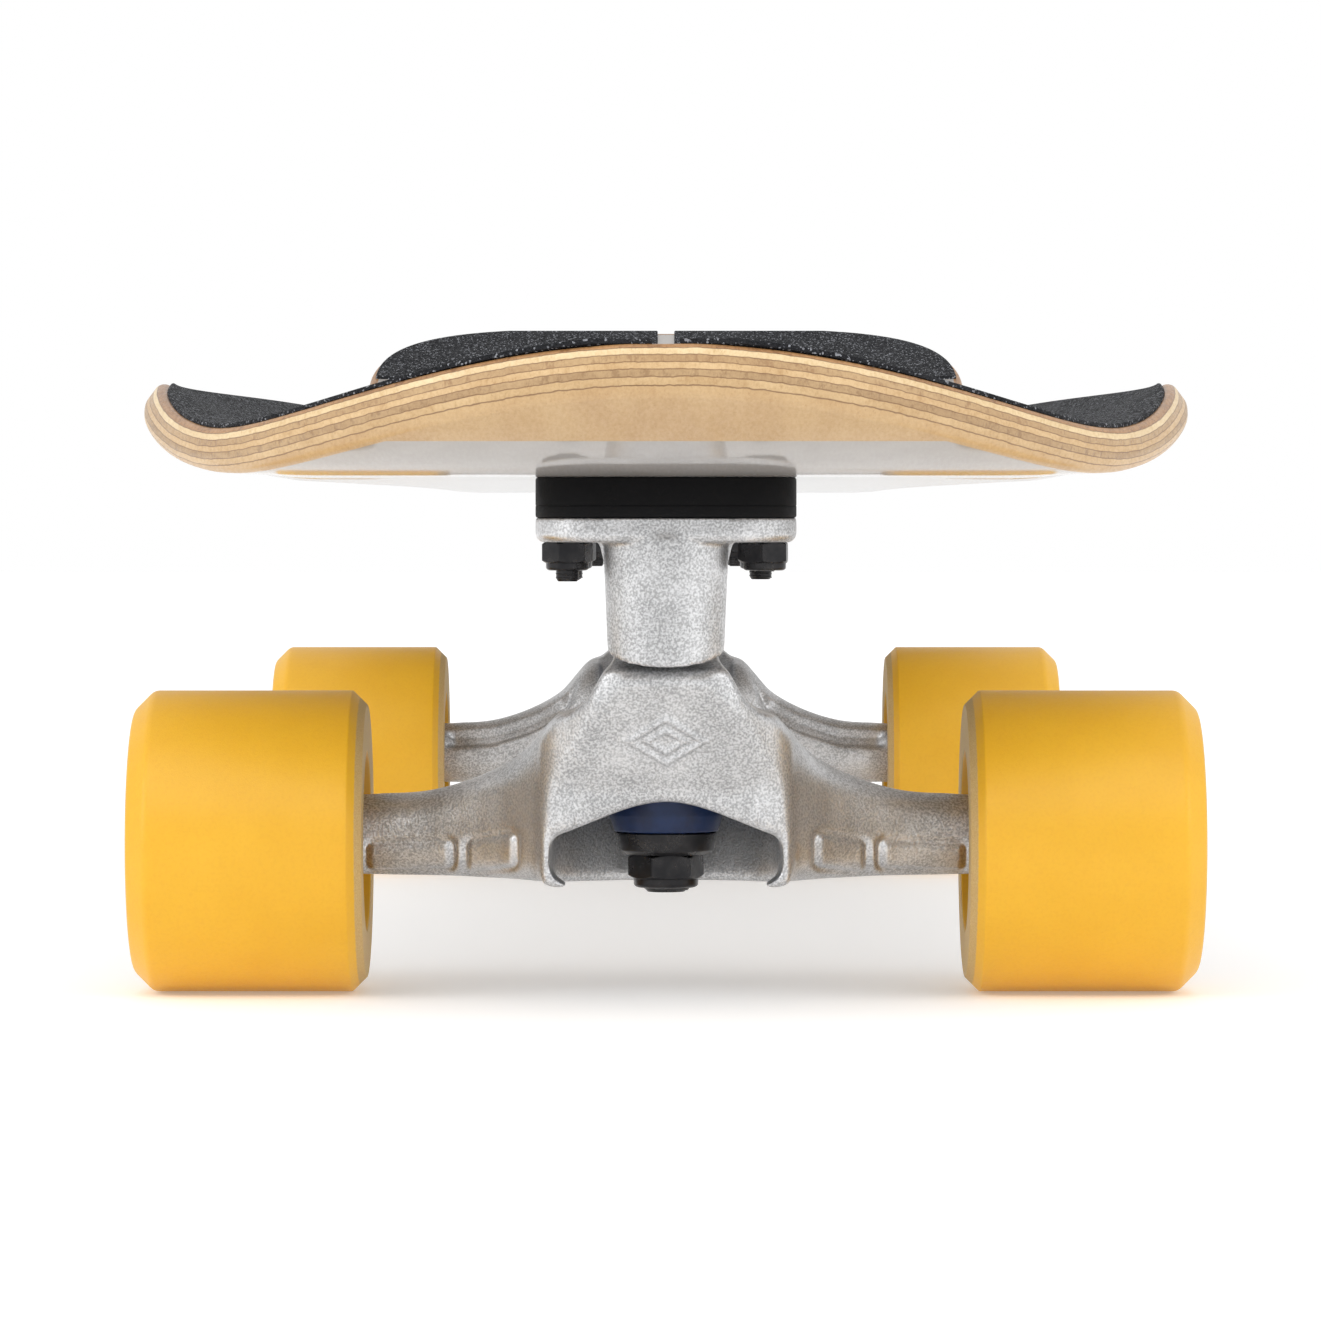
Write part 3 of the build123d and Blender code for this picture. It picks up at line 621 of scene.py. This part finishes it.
for middle_x, middle_z, half_x, half_z, lean in ((37.5, 30.4, 5.6, 4.0, -0.2), (55.2, 29.4, 9.4, 3.4, -0.05)):
    gap = round_box(np.abs(x), z, middle_x, middle_z, half_x, half_z, lean, 1.6)
    push -= 0.75 * np.exp(-(gap / 0.8) ** 2) * facing
    push += 0.1 * (1 - step_between(gap, -1.4, -0.4)) * facing
lozenge = np.abs(x) / 8.6 + np.abs(z - 55.6) / 5.2
ring = np.exp(-((lozenge - 0.9) / 0.13) ** 2)
bar = np.exp(-((lozenge - 0.45) / 0.12) ** 2)
push += 0.7 * np.maximum(ring, bar) * facing * (np.abs(x) < 12) * (y < -10)
turned_in = normal[:, 1] + 0.8 * np.maximum(normal[:, 2], 0)
inboard = step_between(turned_in, 0.3, 0.7) * step_between(y, -1.5, 1.5)
crest = np.interp(np.abs(x), [22.4, 26, 30.5, 39.5, 50.7, 60], [61, 57.4, 51.8, 46.9, 43.2, 42.7])
trough = np.abs(z - (crest - 4.6)) / 2.1
ends = step_between(np.abs(x), 25, 31) * (1 - step_between(np.abs(x), 62, 65))
push -= 2.1 * (1 - step_between(trough, 0.75, 1.25)) * ends * inboard
arm = arm + normal * push[:, None] / 1000
arm_pairs = np.zeros(len(arm_mesh.edges) * 2, int)
arm_mesh.edges.foreach_get("vertices", arm_pairs)
arm = relax(arm, arm_pairs.reshape(-1, 2), 1, np.full(len(arm), 0.3))
for truck, axle_y, turn in TRUCKS:
    finish_cast(arm_mesh, arm, truck, turn, "hanger_casting", f"{truck}_truck", f"{truck}_hanger")


# ================================================================ wheels
# Cast urethane wheels, amber and faintly translucent, with stone-ground side faces and a
# recess down to the bearing seat on each side.

def lathe(profile, count):
    """Closed ring turned about the X axis from (station, radius) corners."""
    angle = np.linspace(0, math.tau, count, endpoint=False)
    rings = [np.stack([np.full(count, s), r * np.sin(angle), r * np.cos(angle)], axis=-1) for s, r in profile]
    return np.concatenate(rings), ring_faces(len(profile), count, True)


def rounded(corners, radii, steps=6):
    """A closed profile with each corner rounded off by its own radius."""
    made = []
    corners = [np.array(c, float) for c in corners]
    for i, (corner, radius) in enumerate(zip(corners, radii)):
        before, after = corners[i - 1] - corner, corners[(i + 1) % len(corners)] - corner
        if radius == 0:
            made.append(tuple(corner))
            continue
        before, after = before / np.linalg.norm(before), after / np.linalg.norm(after)
        half = math.acos(np.clip(before @ after, -1, 1)) / 2
        reach = radius / math.tan(half)
        start, end = corner + before * reach, corner + after * reach
        for k in range(steps + 1):
            t = k / steps
            made.append(tuple(start * (1 - t) ** 2 + 2 * corner * t * (1 - t) + end * t ** 2))
    return made


def filled_in(profile, step):
    """The closed profile with points added, so that none is much over a step from the next."""
    made = []
    for (a0, b0), (a1, b1) in zip(profile, profile[1:] + profile[:1]):
        pieces = max(1, int(math.hypot(a1 - a0, b1 - b0) / step))
        made += [(a0 + (a1 - a0) * k / pieces, b0 + (b1 - b0) * k / pieces) for k in range(pieces)]
    return made


urethane, tree, shader = new_material("wheel_urethane", Subsurface_Weight=0.18, Subsurface_Scale=0.003,
                                      Coat_Roughness=0.25)
shader.inputs["Subsurface Radius"].default_value = (1.0, 0.55, 0.08)
where = add(tree, "ShaderNodeTexCoord").outputs["Object"]
ground = add(tree, "ShaderNodeAttribute", attribute_name="ground").outputs["Fac"]
fine = noise(tree, where, 3800.0, 2.0)
cloud = noise(tree, where, 55.0, 3.0)
speck = noise(tree, where, 1300.0, 3.0)
amber = mix(tree, ramp(tree, cloud, 0.3, 0.7), (0.78, 0.415, 0.008, 1), (0.81, 0.44, 0.012, 1))
amber = mix(tree, ramp(tree, speck, 0.42, 0.72, 0.0, 0.16), amber, (0.66, 0.29, 0.006, 1))
chalk = mix(tree, ramp(tree, fine, 0.3, 0.7), (0.50, 0.31, 0.10, 1), (0.60, 0.42, 0.18, 1))
side_mask = ramp(tree, sum_of(tree, "ADD", ground, sum_of(tree, "MULTIPLY", speck, 0.1)), 0.5, 0.62)
rough = sum_of(tree, "ADD", ramp(tree, fine, 0.3, 0.7, 0.38, 0.5), sum_of(tree, "MULTIPLY", side_mask, 0.2))
feed(tree, shader, Base_Color=mix(tree, side_mask, amber, chalk), Roughness=rough,
     Coat_Weight=sum_of(tree, "SUBTRACT", 0.12, sum_of(tree, "MULTIPLY", side_mask, 0.12)),
     height=fine, distance=0.00004)

wheel_corners = [(-25.1, 19.5), (-25.1, 29.4), (-22.0, 32.5), (20.8, 32.5), (25.1, 28.2), (25.1, 19.5),
                 (14.6, 16.0), (13.7, 11.6), (12.9, 11.0), (5.9, 11.0), (5.9, 9.7), (-4.1, 9.7), (-4.1, 11.0),
                 (-11.1, 11.0), (-11.9, 11.6), (-12.7, 16.0)]
wheel_radii = [0.7, 0.5, 0.7, 2.6, 2.6, 0.7, 1.2, 0.2, 0, 0, 0, 0, 0, 0, 0.2, 1.2]
for truck, axle_y, turn in TRUCKS:
    for side, sign in (("left", 1), ("right", -1)):
        points, faces = lathe(filled_in(rounded(wheel_corners, wheel_radii), 2.5), 200)
        centre = np.array([WHEEL_X * sign, axle_y, AXLE_Z / 1000])
        points = points / 1000 * [sign, 1, 1] + centre
        wheel = make_mesh(f"{truck}_{side}_tyre", points, faces)
        place = np.array([v.co for v in wheel.data.vertices]) - centre
        reach = np.hypot(place[:, 1], place[:, 2]) * 1000
        flat = ((np.abs(place[:, 0]) > 0.02495) & (reach > 19.2) & (reach < 29.6)).astype(np.float32)
        wheel.data.attributes.new("ground", "FLOAT", "POINT").data.foreach_set("value", flat)
        sharpen(wheel, 40)
        wheel.data.materials.append(urethane)
        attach(wheel, f"{truck}_{side}_wheel_set")
        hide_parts(f"{truck}_{side}_wheel")


# ================================================================ bushings
# Navy urethane bushings round the kingpin: a barrel above the hanger's ring and a cone below it.

def upright(profile, count, x=0.0, y=KINGPIN_Y):
    """Closed ring turned about an upright axis from (radius, height) corners, in millimetres."""
    points, faces = lathe([(h, r) for r, h in profile], count)
    return points[:, [1, 2, 0]] + [x, y, 0], faces


navy, tree, shader = new_material("bushing_urethane", Subsurface_Weight=0.15, Subsurface_Scale=0.002,
                                  Coat_Weight=0.1, Coat_Roughness=0.2, Specular_IOR_Level=0.3)
where = add(tree, "ShaderNodeTexCoord").outputs["Object"]
fine = noise(tree, where, 3000.0, 2.0)
cloud = noise(tree, where, 160.0, 3.0)
feed(tree, shader, Base_Color=mix(tree, ramp(tree, cloud, 0.3, 0.7), (0.006, 0.014, 0.050, 1),
                                  (0.010, 0.026, 0.085, 1)),
     Roughness=ramp(tree, fine, 0.3, 0.7, 0.3, 0.44), height=fine, distance=0.00003)
barrel = rounded([(5.1, 54.1), (12.2, 54.1), (12.6, 58), (12.6, 62), (11.8, 66.0), (10.1, 66.3), (10.0, 68.8),
                  (5.1, 68.8)], [0, 1.2, 2, 2, 1.2, 0.2, 0.6, 0])
cone = rounded([(5.1, 32.3), (9.2, 32.3), (9.7, 35.2), (11.1, 35.6), (12.2, 39), (12.2, 47.9), (5.1, 47.9)],
               [0, 0.6, 0.2, 0.6, 2, 1.2, 0])
for truck, axle_y, turn in TRUCKS:
    for node, profile, low, high in (("boardside_bushing", barrel, 0.0685, 0.0545),
                                     ("roadside_bushing", cone, 0.033, 0.0475)):
        points, faces = upright(filled_in(profile, 0.9), 96)
        name = f"{truck}_{node.split('_')[0]}_urethane"
        bushing = make_mesh(name, turned_copy(points, axle_y, turn), faces)
        sharpen(bushing, 50)
        bushing.data.materials.append(navy)
        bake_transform(bushing)
        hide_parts(f"{truck}_{node}")


# ================================================================ black steel fixings
# Blackened steel: pressed cup washers, locking nuts with a nylon collar, bolts and kingpins.

# Metal with a thin finish: fine mottling and faint rubbed flecks.
plating, p_in, p_out = new_group(
    "Plating", [("Where", "NodeSocketVector", None), ("Grain", "NodeSocketFloat", 2000.0)],
    [("Tone", "NodeSocketFloat"), ("Fleck", "NodeSocketFloat"), ("Height", "NodeSocketFloat")])
p_fine = noise(plating, p_in.outputs["Where"], p_in.outputs["Grain"], 3.0)
p_wide = noise(plating, p_in.outputs["Where"], 260.0, 4.0)
plating.links.new(ramp(plating, p_wide, 0.3, 0.7), p_out.inputs["Tone"])
p_fleck = sum_of(plating, "MULTIPLY", ramp(plating, p_wide, 0.58, 0.72), ramp(plating, p_fine, 0.5, 0.66))
plating.links.new(p_fleck, p_out.inputs["Fleck"])
plating.links.new(p_fine, p_out.inputs["Height"])


def plated(name, dark, light, fleck, rough, metallic, grain=2000.0):
    """A steel finish between two tones with flecks of a third."""
    made, tree, shader = new_material(name, Metallic=metallic)
    where = add(tree, "ShaderNodeTexCoord").outputs["Object"]
    skin = add(tree, "ShaderNodeGroup", [("Where", where), ("Grain", grain)], node_tree=plating)
    colour = mix(tree, skin.outputs["Tone"], dark, light)
    colour = mix(tree, sum_of(tree, "MULTIPLY", skin.outputs["Fleck"], 0.5), colour, fleck)
    polish = ramp(tree, skin.outputs["Tone"], 0, 1, rough + 0.08, rough)
    feed(tree, shader, Base_Color=colour, Roughness=polish, height=skin.outputs["Height"], distance=0.00002)
    return made


black_steel = plated("black_steel", (0.010, 0.010, 0.012, 1), (0.026, 0.025, 0.026, 1), (0.11, 0.10, 0.09, 1),
                     0.26, 0.55)
bright_steel = plated("bright_steel", (0.42, 0.42, 0.43, 1), (0.62, 0.62, 0.63, 1), (0.75, 0.74, 0.72, 1),
                      0.2, 1.0, 3000.0)
nylon_black = plated("nylon_collar", (0.012, 0.012, 0.013, 1), (0.022, 0.022, 0.023, 1),
                     (0.05, 0.05, 0.05, 1), 0.42, 0.0)


def nut_points(across, height, bore, collar_radius, collar, turn):
    """Locking nut from z 0 up, its collar on top: chamfered corners and a rounded collar."""
    count = 144
    angle = np.linspace(0, math.tau, count, endpoint=False)
    flat = across / 2 / np.cos((angle - math.radians(turn)) % (math.pi / 3) - math.pi / 6)
    limit = across / 2
    levels = [(bore, 0.3), (bore + 0.35, 0.0), (limit * 0.97, 0.0)]
    rings = [(np.full(count, r), h) for r, h in levels]
    for h in (0.0, 0.12, 0.25, 0.4, 0.6, 0.85, height / 2, height - 0.85, height - 0.6, height - 0.4,
              height - 0.25, height - 0.12, height):
        cut = limit + 0.05 + 1.75 * min(h, height - h)
        rings.append((np.minimum(flat, cut), h))
    rings += [(np.full(count, collar_radius + 0.25), height), (np.full(count, collar_radius), height + 0.2),
              (np.full(count, collar_radius), height + collar * 0.6)]
    for k in range(1, 7):
        a = k * math.pi / 12
        rings.append((np.full(count, collar_radius - collar * 0.4 * (1 - math.cos(a)) * 1.4),
                      height + collar * (0.6 + 0.4 * math.sin(a))))
    rings.append((np.full(count, bore), height + collar))
    points = np.concatenate([np.stack([r * np.cos(angle), r * np.sin(angle), np.full(count, h)], axis=-1)
                             for r, h in rings])
    return points, ring_faces(len(rings), count, True)


def joined(parts):
    """Several (points, faces) as one."""
    points, faces, gone = [], [], 0
    for some, theirs in parts:
        points.append(some)
        faces += [tuple(i + gone for i in face) for face in theirs]
        gone += len(some)
    return np.concatenate(points), faces


def black_piece(name, parts, axle_y, turn, body, node):
    """Blackened steel parts as one piece that stands in for a node."""
    points, faces = joined(parts)
    made = make_mesh(name, turned_copy(points, axle_y, turn), faces)
    sharpen(made, 30)
    made.data.materials.append(black_steel)
    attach(made, body)
    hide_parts(node)


lower_cup = rounded([(4.96, 30.6), (8.6, 30.6), (10.1, 31.5), (11.0, 35.3), (9.95, 35.3), (9.4, 32.2),
                     (4.96, 32.2)], [0.1, 0.6, 0.6, 0.35, 0.35, 0.5, 0.1])
upper_cup = rounded([(4.96, 70.5), (9.6, 70.5), (11.1, 69.4), (11.3, 66.4), (10.5, 66.4), (10.2, 68.9),
                     (4.96, 68.9)], [0.1, 0.6, 0.6, 0.3, 0.3, 0.5, 0.1])
down = np.array([1, 1, -1])
for truck, axle_y, turn in TRUCKS:
    black_piece(f"{truck}_bushing_cups", [upright(lower_cup, 120), upright(upper_cup, 120)], axle_y, turn,
                "deck", f"{truck}_cup_washers")
    points, faces = nut_points(14.29, 5.0, 4.78, 6.9, 2.1, 9)
    black_piece(f"{truck}_kingpin_locknut", [(points * down + [0, KINGPIN_Y, 30.6], faces)], axle_y, turn,
                "deck", f"{truck}_kingpin_nut")
    small = []
    for bolt_x in (-BOLT_X, BOLT_X):
        for bolt_y in BOLT_Y:
            points, faces = nut_points(9.5, 4.2, 2.42, 4.5, 1.7, 12 if bolt_x < 0 else 25)
            small.append((points * down + [bolt_x, bolt_y, PLATE_Z], faces))
    black_piece(f"{truck}_bolt_locknuts", small, axle_y, turn, "deck", f"{truck}_mounting_nuts")
    ends = []
    for sign in (-1, 1):
        points, faces = nut_points(12.7, 5.0, 3.99, 6.1, 1.9, 0)
        ends.append((points[:, [2, 0, 1]] * [sign, 1, 1] + [sign * 103.5, 0, AXLE_Z], faces))
    black_piece(f"{truck}_axle_locknuts", ends, axle_y, turn, f"{truck}_truck", f"{truck}_axle_nuts")


# Rolled threads on the bolt, kingpin and axle ends.
thread_tree = bpy.data.node_groups.new("ScrewThread", "GeometryNodeTree")
thread_in = {}
for label, kind, value in (("Radius", "NodeSocketFloat", 0.0024), ("Pitch", "NodeSocketFloat", 0.0008),
                           ("Length", "NodeSocketFloat", 0.003), ("Depth", "NodeSocketFloat", 0.0003),
                           ("Material", "NodeSocketMaterial", None)):
    socket = thread_tree.interface.new_socket(name=label, in_out="INPUT", socket_type=kind)
    if value is not None:
        socket.default_value = value
    thread_in[label] = socket.identifier
thread_tree.interface.new_socket(name="Geometry", in_out="OUTPUT", socket_type="NodeSocketGeometry")
g_in, g_out = thread_tree.nodes.new("NodeGroupInput"), thread_tree.nodes.new("NodeGroupOutput")
turns = sum_of(thread_tree, "DIVIDE", g_in.outputs["Length"], g_in.outputs["Pitch"])
helix = add(thread_tree, "GeometryNodeCurveSpiral", [
    ("Resolution", 40), ("Rotations", turns), ("Start Radius", g_in.outputs["Radius"]),
    ("End Radius", g_in.outputs["Radius"]), ("Height", g_in.outputs["Length"])])
ridge = add(thread_tree, "GeometryNodeCurvePrimitiveCircle", [
    ("Resolution", 4), ("Radius", g_in.outputs["Depth"])])
swept = add(thread_tree, "GeometryNodeCurveToMesh", [
    ("Curve", helix.outputs[0]), ("Profile Curve", ridge.outputs[0]), ("Fill Caps", True)])
whole = add(thread_tree, "GeometryNodeRealizeInstances", [("Geometry", swept.outputs[0])])
coated = add(thread_tree, "GeometryNodeSetMaterial", [("Geometry", whole.outputs[0]),
                                                      ("Material", g_in.outputs["Material"])])
thread_tree.links.new(coated.outputs[0], g_out.inputs[0])


def thread_points(radius, pitch, length, depth, material):
    """One thread ridge as points in millimetres and faces, from z 0 up."""
    holder = bpy.data.objects.new("holder", bpy.data.meshes.new("holder"))
    bpy.context.scene.collection.objects.link(holder)
    screw = holder.modifiers.new("screw", "NODES")
    screw.node_group = thread_tree
    for label, value in (("Radius", radius), ("Pitch", pitch), ("Length", length), ("Depth", depth),
                         ("Material", material)):
        screw[thread_in[label]] = value / 1000 if isinstance(value, float) else value
    depsgraph = bpy.context.evaluated_depsgraph_get()
    made = bpy.data.meshes.new_from_object(holder.evaluated_get(depsgraph))
    points = np.array([v.co for v in made.vertices]) * 1000
    faces = [tuple(p.vertices) for p in made.polygons]
    bpy.data.objects.remove(holder)
    bpy.data.meshes.remove(made)
    return points, faces


for truck, axle_y, turn in TRUCKS:
    parts = []
    for bolt_x in (-BOLT_X, BOLT_X):
        for bolt_y in BOLT_Y:
            end = 88.9 if bolt_x < 0 or bolt_y > 0 else 91.0
            points, faces = thread_points(2.32, 0.8, 92.0 - end, 0.22, black_steel)
            parts.append((points + [bolt_x, bolt_y, end + 0.45], faces))
    points, faces = thread_points(4.62, 1.27, 1.6, 0.35, black_steel)
    parts.append((points + [0, KINGPIN_Y, 23.2], faces))
    points, faces = joined(parts)
    thread = make_mesh(f"{truck}_bolt_threads", turned_copy(points, axle_y, turn), faces)
    thread.data.materials.append(black_steel)
    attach(thread, "deck")
    parts = []
    for sign in (-1, 1):
        points, faces = thread_points(3.85, 1.0, 1.1, 0.25, bright_steel)
        parts.append((points[:, [2, 0, 1]] * [sign, 1, 1] + [sign * 109.5, 0, AXLE_Z], faces))
    points, faces = joined(parts)
    thread = make_mesh(f"{truck}_axle_threads", turned_copy(points, axle_y, turn), faces)
    thread.data.materials.append(bright_steel)
    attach(thread, f"{truck}_truck")


# ================================================================ bearings, axles and the carried-over steel
# Ground and hardened rings with dark seals, the axle, washers and spacers, the pivot cups
# of black moulded plastic, and the bolts and kingpins.

seal = plated("bearing_seal", (0.012, 0.012, 0.013, 1), (0.03, 0.03, 0.032, 1), (0.08, 0.08, 0.08, 1),
              0.4, 0.0)
cup_plastic = plated("pivot_cup_plastic", (0.012, 0.012, 0.014, 1), (0.028, 0.028, 0.03, 1),
                     (0.07, 0.07, 0.07, 1), 0.35, 0.0)
bright_nodes = ("inner_races", "outer_races", "bearing_balls", "_axle", "speed_washers", "bearing_spacers")
for node, shape in nodes.items():
    if node.endswith(bright_nodes):
        finish = bright_steel
    elif node.endswith(("mounting_bolts", "_kingpin")):
        finish = black_steel
    elif node.endswith("bearing_shields"):
        finish = seal
    elif node.endswith("pivot_cup"):
        finish = cup_plastic
    else:
        continue
    shape.data.materials.clear()
    shape.data.materials.append(finish)


# ================================================================ floor, light and camera
# A pale paper floor under a bright even sky, with a broad soft light above and two panels at the
# sides. The floor is clear from below, so that the deck's underside can be looked at.

floor_mesh = bpy.data.meshes.new("floor")
floor_mesh.from_pydata([(-12, -12, -0.0003), (12, -12, -0.0003), (12, 12, -0.0003), (-12, 12, -0.0003)], [],
                       [(0, 1, 2, 3)])
floor = bpy.data.objects.new("floor", floor_mesh)
bpy.context.scene.collection.objects.link(floor)
floor_white, tree, shader = new_material("floor_paper", Roughness=0.85, Specular_IOR_Level=0.1,
                                         Emission_Color=(1, 1, 1, 1), Emission_Strength=0.2)
where = add(tree, "ShaderNodeTexCoord").outputs["Object"]
feed(tree, shader, Base_Color=mix(tree, ramp(tree, noise(tree, where, 3.0), 0.3, 0.7),
                                  (0.92, 0.92, 0.92, 1), (0.94, 0.94, 0.94, 1)))
clear = add(tree, "ShaderNodeBsdfTransparent")
below = add(tree, "ShaderNodeMixShader")
tree.links.new(add(tree, "ShaderNodeNewGeometry").outputs["Backfacing"], below.inputs[0])
tree.links.new(shader.outputs[0], below.inputs[1])
tree.links.new(clear.outputs[0], below.inputs[2])
tree.links.new(below.outputs[0], tree.nodes["Material Output"].inputs["Surface"])
floor.data.materials.append(floor_white)

world = bpy.data.worlds.new("studio")
bpy.context.scene.world = world
world.use_nodes = True
sky = world.node_tree
soft = sky.nodes["Background"]
soft.inputs["Color"].default_value = (1.0, 1.0, 1.0, 1)
soft.inputs["Strength"].default_value = 0.82
clean = add(sky, "ShaderNodeBackground", [("Color", (1.0, 1.0, 1.0, 1)), ("Strength", 1.0)])
seen = add(sky, "ShaderNodeLightPath").outputs["Is Camera Ray"]
both = add(sky, "ShaderNodeMixShader")
sky.links.new(seen, both.inputs[0])
sky.links.new(soft.outputs[0], both.inputs[1])
sky.links.new(clean.outputs[0], both.inputs[2])
sky.links.new(both.outputs[0], sky.nodes["World Output"].inputs["Surface"])
lamp = bpy.data.lights.new("overhead", "SUN")
lamp.energy = 0.85
lamp.angle = math.radians(50)
overhead = bpy.data.objects.new("overhead", lamp)
overhead.rotation_euler = (math.radians(42), 0, math.radians(-6))
bpy.context.scene.collection.objects.link(overhead)
for name, place, power in (("left", (-1.7, -1.1, 0.8), 9), ("right", (1.7, -1.1, 0.8), 7)):
    lamp = bpy.data.lights.new(name, "AREA")
    lamp.energy = power
    lamp.size = 1.2
    panel = bpy.data.objects.new(name, lamp)
    bpy.context.scene.collection.objects.link(panel)
    panel.location = place
    away = np.array(place) - np.array((0, -0.1, 0.07))
    tip = math.atan2(math.hypot(away[0], away[1]), away[2])
    panel.rotation_euler = (tip, 0, math.atan2(away[0], -away[1]))

camera = bpy.data.cameras.new("camera")
camera.lens = 6227 / 1321 * 36
camera.sensor_width = 36
camera.clip_end = 60
camera_object = bpy.data.objects.new("camera", camera)
bpy.context.scene.collection.objects.link(camera_object)
camera_object.location = (0, -1.617, 0.1003)
camera_object.rotation_euler = (math.radians(90 - 1.228), 0, math.radians(0.0506))
bpy.context.scene.camera = camera_object
bpy.context.scene.view_settings.view_transform = "Standard"
